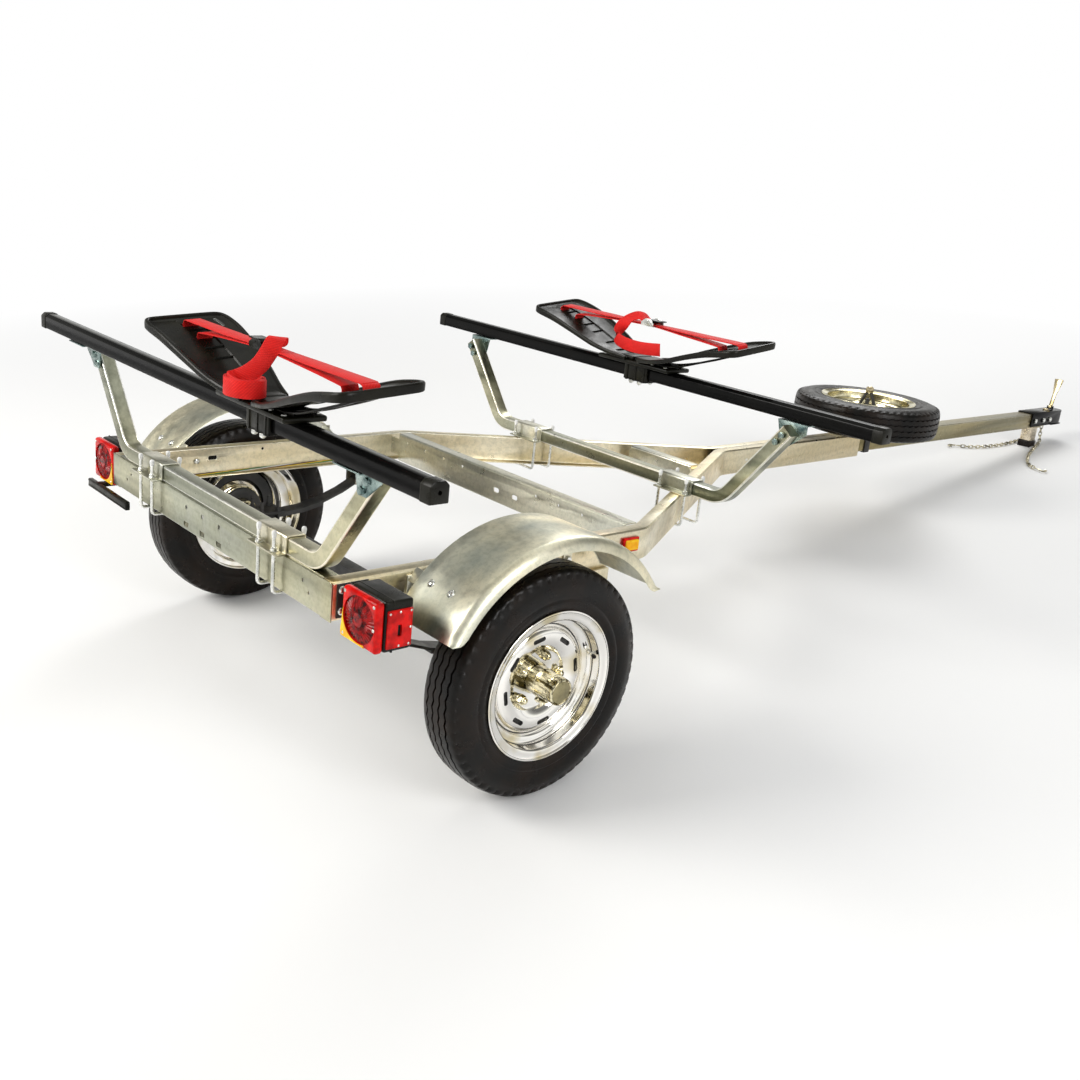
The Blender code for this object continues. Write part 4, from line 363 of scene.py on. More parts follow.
# %% Start a finish
def new_finish(name, colour, metallic, roughness, **sockets):
    finish = bpy.data.materials.new(name)
    finish.use_nodes = True
    finish.diffuse_color = (*colour, 1.0)
    shader = finish.node_tree.nodes["Principled BSDF"]
    shader.inputs["Base Color"].default_value = (*colour, 1.0)
    shader.inputs["Metallic"].default_value = metallic
    shader.inputs["Roughness"].default_value = roughness
    for socket, value in sockets.items():
        shader.inputs[socket.replace("_", " ")].default_value = value
    return finish, shader


# %% Add a node and join it up
def node(finish, kind, joins=(), **values):
    made = finish.node_tree.nodes.new(kind)
    for name, value in values.items():
        if hasattr(made, name):
            setattr(made, name, value)
        else:
            made.inputs[name.replace("_", " ")].default_value = value
    for socket, source in dict(joins).items():
        finish.node_tree.links.new(source, made.inputs[socket])
    return made


def join(finish, source, target):
    finish.node_tree.links.new(source, target)


# %% A grey pattern, and a range of values or colours from it
def place_of(finish):
    return node(finish, "ShaderNodeTexCoord").outputs["Object"]


def speckle(finish, scale, detail=3.0, rough=0.55, stretch=None):
    at = place_of(finish)
    if stretch:
        at = node(finish, "ShaderNodeMapping", {"Vector": at}, Scale=stretch).outputs[0]
    return node(finish, "ShaderNodeTexNoise", {"Vector": at}, Scale=scale, Detail=detail,
                Roughness=rough).outputs["Fac"]


def spangle(finish, scale):
    cells = node(finish, "ShaderNodeTexVoronoi", {"Vector": place_of(finish)}, Scale=scale,
                 feature="SMOOTH_F1")
    return node(finish, "ShaderNodeSeparateColor", {"Color": cells.outputs["Color"]}).outputs[0]


def from_to(finish, pattern, low, high, start=0.0, end=1.0):
    return node(finish, "ShaderNodeMapRange", {"Value": pattern}, **{
        "From_Min": start, "From_Max": end, "To_Min": low, "To_Max": high}).outputs[0]


def shades(finish, pattern, dark, light, start=0.0, end=1.0):
    share = from_to(finish, pattern, 0.0, 1.0, start, end)
    mix = node(finish, "ShaderNodeMix", {"Factor": share}, data_type="RGBA")
    mix.inputs[6].default_value = (*dark, 1.0)
    mix.inputs[7].default_value = (*light, 1.0)
    return mix.outputs[2]


def multiplied(finish, first, second):
    mix = node(finish, "ShaderNodeMix", data_type="RGBA", blend_type="MULTIPLY", Factor=1.0)
    join(finish, first, mix.inputs[6])
    join(finish, second, mix.inputs[7])
    return mix.outputs[2]


def dents(finish, shader, pattern, strength, depth):
    bump = node(finish, "ShaderNodeBump", {"Height": pattern}, Strength=strength, Distance=depth)
    join(finish, bump.outputs[0], shader.inputs["Normal"])


# %% [markdown]
# ## Galvanised steel
# The frame was dipped in molten zinc. Zinc freezes in flat crystals a few
# millimetres across, which catch the light one by one, and it clouds over with
# time. A cell pattern gives each crystal its own gloss, a wide soft noise the
# clouding and a fine one the grain. A little olive in the dark parts is the
# reflection of a room.

# %% How coarse its patterns are, in spots to a metre, and the ways they can run
STREAKS = 7.0
CLOUDS = 2.6
GRAIN = 90.0
CRYSTALS = 60.0
WAVES = 9.0
EVEN = (1.0, 1.0, 1.0)
ALONG_X = (0.10, 2.2, 2.2)
ALONG_Y = (2.2, 0.10, 2.2)


# %% Galvanised steel, with its streaks along x, along y, or none
def galvanised_steel(name, stretch, dark, light, gloss=(0.27, 0.33)):
    finish, shader = new_finish(name, light, 1.0, 0.30)
    tint = shades(finish, speckle(finish, STREAKS, 3.0, 0.5, stretch), dark, light, 0.30, 0.66)
    warm = shades(finish, speckle(finish, CLOUDS, 2.0), (0.94, 0.95, 0.95), (1.0, 0.94, 0.82), 0.40, 0.64)
    grain = shades(finish, speckle(finish, GRAIN, 4.0, 0.7), (0.84, 0.85, 0.84), (1.0, 1.0, 1.0), 0.38, 0.56)
    coat = multiplied(finish, multiplied(finish, tint, warm), grain)
    join(finish, coat, shader.inputs["Base Color"])
    join(finish, from_to(finish, spangle(finish, CRYSTALS), *gloss), shader.inputs["Roughness"])
    dents(finish, shader, speckle(finish, WAVES, 0.0, 0.5, stretch), 0.10, 0.002)
    return finish


# The same galvanised steel in copies painted at different levels of light: drawn along y, for the rails,
# painted lit and peach; drawn along x, for the crossmembers and hat plates, a little darker; the darkest
# copy, for the rear crossmember and the supports, in painted shade; the tongue's copy in a darker golden
# painted shade.
galvanised = galvanised_steel("galvanised steel", EVEN, (0.44, 0.45, 0.36), (0.86, 0.84, 0.74))
galvanised_along_x = galvanised_steel("galvanised steel drawn along x", ALONG_X, (0.34, 0.345, 0.28),
                                      (0.86, 0.84, 0.73))
galvanised_along_y = galvanised_steel("galvanised steel drawn along y", ALONG_Y, (0.60, 0.51, 0.32),
                                      (1.0, 0.92, 0.73))
shaded_steel = galvanised_steel("galvanised steel in painted shade", ALONG_X, (0.11, 0.12, 0.085), (0.56, 0.56, 0.44))
tongue_steel = galvanised_steel("galvanised tongue", ALONG_Y, (0.14, 0.125, 0.060), (0.44, 0.38, 0.22))
# A near-white copy for rounded edges and corners: a painted highlight.
painted_edge_highlight = galvanised_steel("painted highlight on the steel's edges", EVEN, (0.80, 0.79, 0.72), (0.98, 0.97, 0.92))


# %% Zinc plate: plain, blue, yellow, and as it is on the leg and the chains
def zinc_plate(name, dark, light):
    finish, shader = new_finish(name, light, 1.0, 0.26)
    colour = shades(finish, speckle(finish, 24.0, 3.0), dark, light, 0.35, 0.65)
    join(finish, colour, shader.inputs["Base Color"])
    join(finish, from_to(finish, speckle(finish, 160.0, 3.0), 0.16, 0.40), shader.inputs["Roughness"])
    dents(finish, shader, speckle(finish, 120.0, 2.0), 0.06, 0.0006)
    return finish


bright_zinc = zinc_plate("bright zinc", (0.52, 0.53, 0.50), (0.92, 0.92, 0.88))
blue_zinc = zinc_plate("blue zinc", (0.06, 0.11, 0.11), (0.34, 0.42, 0.40))
yellow_zinc = zinc_plate("yellow zinc", (0.34, 0.27, 0.13), (0.84, 0.72, 0.48))
leg_zinc = zinc_plate("zinc on the leg", (0.52, 0.45, 0.34), (0.90, 0.80, 0.64))
chain_zinc = zinc_plate("zinc on the chains", (0.10, 0.085, 0.04), (0.86, 0.80, 0.62))

# %% [markdown]
# ## Chrome, enamel, rubber and plastic
# Chrome is a mirror with a trace of haze, a little golden where it mirrors the
# room. Black enamel is a smooth coat with faint orange peel. Rubber is a dull
# black with brownish patches, a painted sheen. Moulded plastic has a fine
# leather-like grain.

# %% Chrome
chrome, shader = new_finish("chrome", (0.90, 0.89, 0.86), 1.0, 0.07)
join(chrome, shades(chrome, speckle(chrome, 11.0, 2.0), (0.70, 0.62, 0.42), (0.94, 0.92, 0.88), 0.34, 0.50),
     shader.inputs["Base Color"])
join(chrome, from_to(chrome, speckle(chrome, 30.0, 4.0), 0.03, 0.13, 0.3, 0.7), shader.inputs["Roughness"])
dents(chrome, shader, speckle(chrome, 22.0, 2.0), 0.06, 0.004)

# %% Zinc on the hub and its nuts, golden with dark streaks
hub_plate, shader = new_finish("plated hub", (0.80, 0.75, 0.58), 1.0, 0.12)
# Darker patches, stretched along the axis.
darker_patches = speckle(hub_plate, 110.0, 3.0, 0.55, (0.22, 1.0, 1.0))
join(hub_plate, shades(hub_plate, darker_patches, (0.10, 0.08, 0.03), (0.94, 0.86, 0.60), 0.40, 0.56),
     shader.inputs["Base Color"])
join(hub_plate, from_to(hub_plate, speckle(hub_plate, 90.0, 2.0), 0.06, 0.20), shader.inputs["Roughness"])

# %% Black coats: enamel, rubber, plastic
PATCHES = 12.0


def black_coat(name, dark, light, low, high, grain, depth, **sockets):
    finish, shader = new_finish(name, dark, 0.0, low, **sockets)
    colour = shades(finish, speckle(finish, PATCHES, 4.0), dark, light, 0.4, 0.75)
    rough = from_to(finish, speckle(finish, PATCHES * 3, 3.0), low, high, 0.3, 0.7)
    join(finish, colour, shader.inputs["Base Color"])
    join(finish, rough, shader.inputs["Roughness"])
    dents(finish, shader, speckle(finish, grain, 2.0), 0.3, depth)
    return finish


enamel = black_coat("black enamel", (0.003, 0.003, 0.003), (0.005, 0.0045, 0.004), 0.10, 0.20, 260.0,
                    0.0003, Specular_IOR_Level=0.10)
# The rubber's lighter brownish colour is a painted sheen.
rubber = black_coat("tyre rubber", (0.0035, 0.003, 0.0025), (0.013, 0.0065, 0.003), 0.24, 0.42, 900.0,
                    0.0003, Specular_IOR_Level=0.20)
plastic = black_coat("moulded plastic", (0.0045, 0.0043, 0.003), (0.014, 0.013, 0.007), 0.24, 0.42,
                     1300.0, 0.0002, Specular_IOR_Level=0.18)
spring_black = black_coat("spring steel black", (0.012, 0.012, 0.012), (0.045, 0.042, 0.038), 0.40, 0.62,
                          300.0, 0.0006)

# %% Red and amber lens
def lens_plastic(name, deep, bright, grain=40.0):
    finish, shader = new_finish(name, bright, 0.0, 0.16, Specular_IOR_Level=0.18)
    colour = shades(finish, speckle(finish, grain, 2.0), deep, bright, 0.36, 0.60)
    join(finish, colour, shader.inputs["Base Color"])
    dents(finish, shader, speckle(finish, 60.0, 2.0), 0.05, 0.001)
    return finish


red_lens = lens_plastic("red lens", (0.36, 0.002, 0.002), (0.70, 0.006, 0.004))
amber_lens = lens_plastic("amber lens", (0.90, 0.42, 0.01), (1.0, 0.66, 0.03))

# %% Finish of each solid: the first row that holds a word of its name
finish_words = [
    (rubber, "tyre stand_foot"), (chrome, "rim hub"),
    (plastic, "wing saddle rear_buckle buckle_lever tail_lamp"), (bright_zinc, "front_buckle clamp"),
    (red_lens, "lens"), (amber_lens, "marker"), (yellow_zinc, "coupler_lever coupler_jaw"),
    (enamel, "load_bar coupler"), (blue_zinc, "bar_bracket"),
    (spring_black, "leaf axle wiring spare_carrier"), (chain_zinc, "chain"), (leg_zinc, "stand_leg"),
    (tongue_steel, "tongue"), (galvanised_along_y, "rail"), (shaded_steel, "support rear_crossmember"),
    (galvanised_along_x, "crossmember"), (galvanised, ""),
]
finish_of = {}
for name in trailer:
    finish_of[name] = next(finish for finish, words in finish_words
                           if not words or any(word in name for word in words.split()))
for name, solid in trailer.items():
    solid.data.materials.clear()
    solid.data.materials.append(finish_of[name])
print(len(finish_words), "finishes for", len(finish_of), "solids")

# %% The chains in place of their solids, riding on the chassis
for side, line in chain_lines.items():
    chain = stand_in("chain_links_" + side, chain_mesh(line), chain_zinc, "chassis", "safety_chain_" + side,
                     level_axes)

# %% [markdown]
# ## Turned shapes and cuts
# Tyres, rims, hubs and studs are round, so they come off a lathe: a section of
# (place along the axis, radius) points is turned about the axis. Slots and
# holes are cut from the turned shape with an exact boolean, as a press would.

# %% Turn a section about the x axis
def turned_faces(steps, count, closed=True):
    faces = []
    for k in range(steps):
        a, b = k * count, (k + 1) % steps * count
        for i in range(count if closed else count - 1):
            j = (i + 1) % count
            faces.append([a + i, b + i, b + j, a + j])
    return faces


def turned(section, steps, closed=True):
    points = []
    count = len(section)
    for k in range(steps):
        angle = 2 * math.pi * k / steps
        points += [(x, r * math.cos(angle), r * math.sin(angle)) for x, r in section]
    faces = turned_faces(steps, count, closed)
    if not closed:
        faces.append([k * count for k in range(steps)][::-1])
        faces.append([k * count + count - 1 for k in range(steps)])
    return faced_out(mesh_of(points, faces))


# %% Make every face look outwards
def faced_out(mesh):
    shape = bmesh.new()
    shape.from_mesh(mesh)
    bmesh.ops.recalc_face_normals(shape, faces=shape.faces)
    shape.to_mesh(mesh)
    shape.free()
    return mesh


# %% Cut others out of a mesh, or keep what it shares with them
def cut_with(mesh, cutters, way="DIFFERENCE"):
    solid = put_in_scene("solid", mesh)
    knife = put_in_scene("knife", joined(cutters))
    cut = solid.modifiers.new("cut", "BOOLEAN")
    cut.operation = way
    cut.object = knife
    cut.solver = "EXACT"
    seen = bpy.context.evaluated_depsgraph_get()
    result = bpy.data.meshes.new_from_object(solid.evaluated_get(seen))
    for part in (solid, knife):
        bpy.data.objects.remove(part)
    return result


# %% A box with rounded edges
def box_mesh(low, high, round_edge=0.0, segments=2):
    shape = bmesh.new()
    bmesh.ops.create_cube(shape, size=1.0)
    size = Vector(high) - Vector(low)
    middle = (Vector(high) + Vector(low)) / 2
    for v in shape.verts:
        v.co = Vector((v.co.x * size.x, v.co.y * size.y, v.co.z * size.z)) + middle
    if round_edge:
        bmesh.ops.bevel(shape, geom=shape.edges[:], offset=round_edge, segments=segments, profile=0.5,
                        affect="EDGES")
    mesh = bpy.data.meshes.new("shape")
    shape.to_mesh(mesh)
    shape.free()
    return mesh


# %% Join rows of points into one closed shape
def lofted(rows):
    count = len(rows[0])
    return faced_out(mesh_of([p for row in rows for p in row], skin(len(rows), count)))


# %% A nut, with a dome if it is closed, along plus x from its seat
NUT_SIDES = 6


def nut_mesh(across, height, dome=0.0):
    r = across / 2 / math.cos(math.pi / NUT_SIDES)
    edge = 0.12 * across
    rows = []
    for x, radius in ((0.0, 0.92 * r), (edge * 0.5, r), (height - edge, r), (height, 0.86 * r)):
        angles = [math.pi * k * 2 / NUT_SIDES for k in range(NUT_SIDES)]
        rows.append([(x, radius * math.cos(angle), radius * math.sin(angle)) for angle in angles])
    nut = lofted(rows)
    if dome:
        wide = 0.80 * across / 2
        cap = [(height - 0.0006, wide)]
        for i in range(5):
            angle = math.pi * i / 10
            cap.append((height - 0.0002 + dome * math.sin(angle), wide * math.cos(angle)))
        cap.append((height + dome * 0.995, 0.06 * across))
        nut = joined([nut, turned(cap, 16, closed=False)])
    return nut


# %% [markdown]
# ## The tyres
# A small bias-ply trailer tyre has a flat band of five ribs parted by zigzag
# grooves, a toothed shoulder, and a side wall with a raised ring above the rim.
# The section is turned in small steps, and the steps shift the grooves and
# drop the shoulder's teeth as they go round, so the tread is real geometry.

# %% Section of the tyre from the crown's middle outwards
GROOVE_DEPTH = 0.0055
ZIGZAG = 0.0021
TREAD_TEETH = 58
STEPS_A_TOOTH = 4
NOTCH = 0.0030
half_tread = [
    (0.0, 0.2650, 1), (0.0076, 0.2650, 1), (0.0086, 0.2650 - GROOVE_DEPTH, 1),
    (0.0116, 0.2650 - GROOVE_DEPTH, 1), (0.0126, 0.2649, 1), (0.0200, 0.2646, 1),
    (0.0276, 0.2641, 1), (0.0286, 0.2638 - GROOVE_DEPTH, 1), (0.0316, 0.2636 - GROOVE_DEPTH, 1),
    (0.0326, 0.2634, 1), (0.0400, 0.2620, 0), (0.0465, 0.2598, 0),
]
shoulder = [(0.0500, 0.2572), (0.0518, 0.2535), (0.0530, 0.2490)]
side_wall = [
    (0.0548, 0.2440), (0.0552, 0.2425), (0.0575, 0.2370), (0.0592, 0.2300), (0.0600, 0.2220),
    (0.0600, 0.2150), (0.0594, 0.2080), (0.0584, 0.2030), (0.0572, 0.2000), (0.0568, 0.1975),
    (0.0585, 0.1955), (0.0592, 0.1925), (0.0590, 0.1880), (0.0578, 0.1840), (0.0562, 0.1800),
    (0.0552, 0.1765), (0.0540, 0.1725), (0.0525, 0.1700), (0.0515, 0.1560), (0.0440, 0.1530),
    (0.0400, 0.1560),
]
inside = [(0.0480, 0.1750), (0.0500, 0.2100), (0.0400, 0.2480), (0.0, 0.2510)]
zigzag_points = sum(zig for x, r, zig in half_tread)


# %% Turn the tyre
def tyre_shape():
    points = []
    steps = TREAD_TEETH * STEPS_A_TOOTH
    for k in range(steps):
        phase = k % STEPS_A_TOOTH / STEPS_A_TOOTH
        shift = ZIGZAG * (4 * abs(phase - 0.5) - 1)
        notch = NOTCH if k % STEPS_A_TOOTH == 0 else 0.0
        row = [(x + shift * zig if x else 0.0, r) for x, r, zig in half_tread]
        row += [(x - notch, r - notch * 0.5) for x, r in shoulder] + side_wall + inside
        other_half = [(-x + (2 * shift if 0 < i < zigzag_points else 0.0), r) for i, (x, r) in enumerate(row)]
        ring = row[:-1] + other_half[:0:-1]
        angle = 2 * math.pi * k / steps
        points += [(x, r * math.cos(angle), r * math.sin(angle)) for x, r in ring]
    return faced_out(mesh_of(points, turned_faces(steps, len(ring))))


# %% [markdown]
# ## The rims
# A steel rim is a rolled barrel with a pressed disc welded in it, all chromed.
# The light plays on its rolls and steps, so the section follows them closely.
# Eight slots are cut in the disc and five holes for the studs.

# %% Section of the rim, outer lip first
SLOTS = 8
SLOT_CIRCLE = 0.1000
SLOT_LONG = 0.034
SLOT_WIDE = 0.0105
STUDS = 5
STUD_CIRCLE = 0.057
rim_section = [
    (0.0535, 0.1700), (0.0552, 0.1722), (0.0572, 0.1726), (0.0582, 0.1712), (0.0580, 0.1690),
    (0.0562, 0.1668), (0.0546, 0.1640), (0.0540, 0.1590), (0.0532, 0.1538), (0.0512, 0.1502),
    (0.0470, 0.1490), (0.0360, 0.1484), (0.0330, 0.1470), (0.0300, 0.1468), (0.0275, 0.1482),
    (0.0235, 0.1478), (0.0205, 0.1455), (0.0190, 0.1405), (0.0180, 0.1350), (0.0160, 0.1312),
    (0.0120, 0.1294), (0.0105, 0.1280), (0.0112, 0.1258), (0.0140, 0.1244), (0.0185, 0.1212),
    (0.0225, 0.1160), (0.0250, 0.1090), (0.0258, 0.1010), (0.0252, 0.0930), (0.0228, 0.0850),
    (0.0185, 0.0775), (0.0135, 0.0715), (0.0102, 0.0675), (0.0091, 0.0640), (0.0090, 0.0360),
    (0.0080, 0.0342), (0.0050, 0.0342), (0.0050, 0.0660), (0.0095, 0.0735), (0.0170, 0.0810),
    (0.0210, 0.0890), (0.0222, 0.0980), (0.0215, 0.1070), (0.0150, 0.1170), (0.0040, 0.1238),
    (-0.0010, 0.1250), (-0.0220, 0.1250), (-0.0250, 0.1280), (-0.0300, 0.1480), (-0.0330, 0.1492),
    (-0.0510, 0.1500), (-0.0538, 0.1545), (-0.0546, 0.1640), (-0.0562, 0.1668), (-0.0580, 0.1690),
    (-0.0580, 0.1715), (-0.0560, 0.1725), (-0.0535, 0.1700), (-0.0512, 0.1545), (-0.0480, 0.1524),
    (-0.0310, 0.1524), (-0.0225, 0.1280), (0.0100, 0.1285), (0.0170, 0.1500), (0.0200, 0.1524),
    (0.0480, 0.1524), (0.0512, 0.1545),
]


# %% Turn the rim and cut its slots and holes
def stud_places(x):
    angles = [2 * math.pi * i / STUDS for i in range(STUDS)]
    return [moved(x, STUD_CIRCLE * math.cos(angle), STUD_CIRCLE * math.sin(angle)) for angle in angles]


def rim_shape():
    low, high = SLOT_CIRCLE - SLOT_WIDE / 2, SLOT_CIRCLE + SLOT_WIDE / 2
    slot = box_mesh((-0.01, -SLOT_LONG / 2, low), (0.05, SLOT_LONG / 2, high), SLOT_WIDE * 0.42, 3)
    cutters = [placed(slot, Matrix.Rotation(math.radians(5.0 + 360 * i / SLOTS), 4, "X"))
               for i in range(SLOTS)]
    hole = turned([(-0.02, 0.0066), (0.03, 0.0066)], 16, closed=False)
    cutters += [placed(hole, at) for at in stud_places(0.0)]
    return cut_with(turned(rim_section, 144), cutters)


# %% [markdown]
# ## Hubs, nuts and valve stems
# Five plated nuts hold the rim, and a pressed cap covers the bearing. The cap
# has a rolled edge and a flat face. A valve stem with a rubber cap stands in
# the barrel.

# %% Turn the hub
hub_section = [
    (-0.0453, 0.0180), (-0.0453, 0.0320), (-0.0440, 0.0340), (-0.0060, 0.0345), (-0.0050, 0.0370),
    (-0.0050, 0.0670), (-0.0042, 0.0680), (0.0040, 0.0680), (0.0046, 0.0670), (0.0046, 0.0330),
    (0.0300, 0.0328), (0.0320, 0.0335), (0.0345, 0.0335), (0.0355, 0.0318), (0.0362, 0.0312),
    (0.0640, 0.0312), (0.0650, 0.0322), (0.0668, 0.0322), (0.0678, 0.0312), (0.0860, 0.0310),
    (0.0890, 0.0300), (0.0906, 0.0280), (0.0905, 0.0262), (0.0888, 0.0250), (0.0884, 0.0010),
]


nut_collar = [(-0.0040, 0.0062), (-0.0001, 0.0062), (-0.0001, 0.0112), (0.0014, 0.0116), (0.0022, 0.0100)]
NUT_SEAT = 0.0093


def hub_shape():
    pieces = [turned(hub_section, 48, closed=False)]
    for at in stud_places(NUT_SEAT):
        pieces.append(placed(nut_mesh(0.0195, 0.0150, 0.0075), at))
        pieces.append(placed(turned(nut_collar, 20, closed=False), at))
    return joined(pieces)


# %% A dark ring behind the hub, the hub's dark back with the shade inside the wheel painted in; a black ring behind the slots, painted shadow seen through them; and the cap's flat face
hub_ring = [(-0.0150, 0.0352), (-0.0150, 0.0600), (-0.0120, 0.0640), (-0.0056, 0.0650), (-0.0056, 0.0352)]
slot_shadow_ring = [
    (0.0110, 0.0860), (0.0110, 0.1140), (0.0120, 0.1145), (0.0180, 0.1080), (0.0205, 0.0980),
    (0.0190, 0.0890), (0.0160, 0.0860),
]
cap_face = [(0.0870, 0.0004), (0.0901, 0.0004), (0.0901, 0.0236), (0.0894, 0.0246), (0.0870, 0.0246)]


def dark_rings():
    return joined([turned(hub_ring, 48), turned(slot_shadow_ring, 72)])


# %% The valve's stem and cap
VALVE_LEAN = math.radians(-18.0)
VALVE_ROUND = math.radians(100.0)
valve_parts = {
    "stem": [(0.0, 0.0062), (0.003, 0.0066), (0.006, 0.0050), (0.010, 0.0034), (0.019, 0.0032)],
    "cap": [(0.0185, 0.0040), (0.0190, 0.0046), (0.0265, 0.0046), (0.0280, 0.0036), (0.0284, 0.0010)],
}


def valve_shape(section):
    leaning = moved(0.0215, 0.0, -0.1470) @ Matrix.Rotation(VALVE_LEAN, 4, "Y")
    return placed(turned(section, 16, closed=False), Matrix.Rotation(VALVE_ROUND, 4, "X") @ leaning)


# %% Black rings in the creases between the rolls of a rim: painted shade
CREASE_RINGS = ((0.0106, 0.1272), (0.0300, 0.1464), (0.0500, 0.1500), (0.0572, 0.1690))


def rim_crease_shade():
    rings = []
    for x, r in CREASE_RINGS:
        back, front, low, high = x - 0.0005, x + 0.0007, r - 0.0008, r + 0.0006
        rings.append(turned([(back, low), (front, low), (front, high), (back, high)], 96))
    return joined(rings)


# %% Put the two road wheels together
HALF_TRACK = 0.669
one_tyre = tyre_shape()
for side, outward in SIDES.items():
    at = moved(outward * HALF_TRACK, -AXLE_BEHIND_MIDDLE, WHEEL_RADIUS)
    wheel, tyre, rim, hub = side + "_wheel", "tyre_" + side, "rim_" + side, "hub_" + side
    face = turned(cap_face, 40)
    stand_in(tyre + "_treaded", one_tyre.copy(), rubber, wheel, tyre, at, 50)
    stand_in(rim + "_chromed", on_side(rim_shape(), outward), chrome, wheel, rim, at, 50)
    beside(rim + "_crease_shade", on_side(rim_crease_shade(), outward), spring_black, wheel, rim, at)
    stand_in(hub + "_plated", on_side(hub_shape(), outward), hub_plate, wheel, hub, at)
    beside(hub + "_back", on_side(dark_rings(), outward), spring_black, wheel, hub, at)
    # The cap's flat face takes the tongue's dark olive finish, a painted reflection.
    beside(hub + "_cap_face", on_side(face, outward), tongue_steel, wheel, hub, at)
    for name, finish in (("stem", bright_zinc), ("cap", rubber)):
        valve = on_side(valve_shape(valve_parts[name]), outward)
        beside("valve_" + name + "_" + side, valve, finish, wheel, tyre, at, 50)
print("tyre has", len(one_tyre.vertices), "points")

# %% The spare wheel lies on its side over the tongue
spare_plate, shader = new_finish("plated spare rim", (0.80, 0.73, 0.50), 1.0, 0.18)
darker_patches = speckle(spare_plate, 18.0, 3.0)
join(spare_plate, shades(spare_plate, darker_patches, (0.36, 0.32, 0.18), (0.86, 0.80, 0.58), 0.4, 0.6),
     shader.inputs["Base Color"])
join(spare_plate, from_to(spare_plate, speckle(spare_plate, 40.0, 2.0), 0.12, 0.26),
     shader.inputs["Roughness"])
SPARE_Y = 2.205
SPARE_MIDDLE = 0.3127
lying = frame_axes @ moved(0.0, SPARE_Y, SPARE_MIDDLE) @ DOWNWARD
stand_in("spare_tyre_treaded", one_tyre.copy(), rubber, "chassis", "spare_tyre", lying, 50)
stand_in("spare_rim_plated", rim_shape(), spare_plate, "chassis", "spare_rim", lying, 50)
print("spare wheel's middle", SPARE_MIDDLE, "m over the frame's axis")

# %% [markdown]
# ## The saddles
# A kayak lies in two saddles. Each has a foot clamped round its load bar and
# two moulded wings that open like a book. A wing is a thin dished panel with a
# deep rounded rim, a sunk strip down its middle where the strap lies, and ribs
# underneath. The panel is lofted through stations along x and the rim is swept
# along the panel's outline, since that is how the mould is cut too.

# %% Where the saddles stand
BAR_HALF = 0.019
BAR_HEIGHT = 0.5255
BAR_AT = {"rear": -0.466, "front": 0.875}
SADDLE_AT = {"rear": 0.320, "front": 0.065}
FOOT_TOP = 0.0316
saddle_axes = {end: frame_axes @ moved(SADDLE_AT[end], BAR_AT[end], BAR_HEIGHT) for end in BAR_AT}

# %% Stations of a wing: distance out, height, half width
wing_stations = [
    (0.024, 0.0070, 0.055), (0.080, 0.0170, 0.068), (0.130, 0.0330, 0.077), (0.200, 0.0580, 0.086),
    (0.250, 0.0750, 0.091), (0.300, 0.0900, 0.094), (0.345, 0.0995, 0.095), (0.372, 0.1038, 0.093),
    (0.386, 0.1056, 0.088), (0.393, 0.1062, 0.080), (0.3965, 0.1065, 0.068),
    (0.3975, 0.1066, 0.040),
]
fine_stations = smooth_route(wing_stations, 6)
PANEL_THICK = 0.0032
RIM_WIDE = 0.0085
RIM_PROUD = 0.0034
OUTER_SLOT = 0.350
INNER_SLOT = 0.283


def ramp(distance, length):
    return min(1.0, max(0.0, distance / length))


def skirt_depth(x):
    return 0.0085 + 0.0065 * ramp(x - 0.10, 0.25)


def wing_top(x):
    for (x0, z0, _), (x1, z1, _) in zip(wing_stations, wing_stations[1:]):
        if x0 <= x <= x1:
            return FOOT_TOP + z0 + (z1 - z0) * (x - x0) / (x1 - x0)
    return FOOT_TOP + wing_stations[-1][1]


# %% Each wing is a little twisted, its rear edge low
TWIST = {"rear": math.radians(4.5), "front": math.radians(7.0)}


def twisted(mesh, end):
    rise = math.tan(TWIST[end])
    for v in mesh.vertices:
        share = ramp(abs(v.co.x) - 0.04, 0.12)
        v.co.z += v.co.y * rise * share * share * (3.0 - 2.0 * share)
    return mesh


# %% The panel with its sunk strip
PANEL_DISH = 0.0050
STRIP_SUNK = 0.0034


def panel_row(x, z, half):
    inner = half - RIM_WIDE * 0.5
    level = FOOT_TOP + z
    fall = PANEL_DISH * ramp(x - 0.03, 0.05) * ramp(0.394 - x, 0.014)
    sunk = fall + STRIP_SUNK * ramp(x - 0.05, 0.01) * ramp(0.380 - x, 0.006)
    top = [(-inner, 0.0), (-inner + 0.003, -0.0006), (-inner + 0.013, -fall * 0.92), (-inner + 0.0145, -fall),
           (-0.0225, -fall), (-0.0205, -sunk), (-0.010, -sunk), (0.0, -sunk)]
    top += [(-y, drop) for y, drop in top[-2::-1]]
    upper = [(x, y, level + drop) for y, drop in top]
    lower = [(x, y, level + drop - PANEL_THICK) for y, drop in top][::-1]
    return upper + lower


# %% The rim round the panel: a section of (outwards, upwards) points along its edge
def rim_of_wing():
    edge = [Vector((x, w, FOOT_TOP + z)) for x, z, w in fine_stations]
    edge += [Vector((p.x, -p.y, p.z)) for p in edge[::-1]]
    edge = even_points(edge, 120)
    half = RIM_WIDE / 2
    high = RIM_PROUD
    rows = []
    for i, p in enumerate(edge):
        ahead = step_at(edge, i)
        out = Vector((-ahead.y, ahead.x, 0.0)).normalized()
        deep = -skirt_depth(p.x)
        section = [(-half, deep), (-half, high - 0.0024), (-half + 0.0018, high - 0.0005), (0.0, high),
                   (half - 0.0022, high - 0.0006), (half - 0.0004, high - 0.0030), (half, high - 0.0060),
                   (half - 0.0004, deep + 0.0015), (half - 0.0018, deep)]
        inset = p - out * half
        rows.append([inset + out * a + Vector((0.0, 0.0, b)) for a, b in section])
    return lofted(rows)


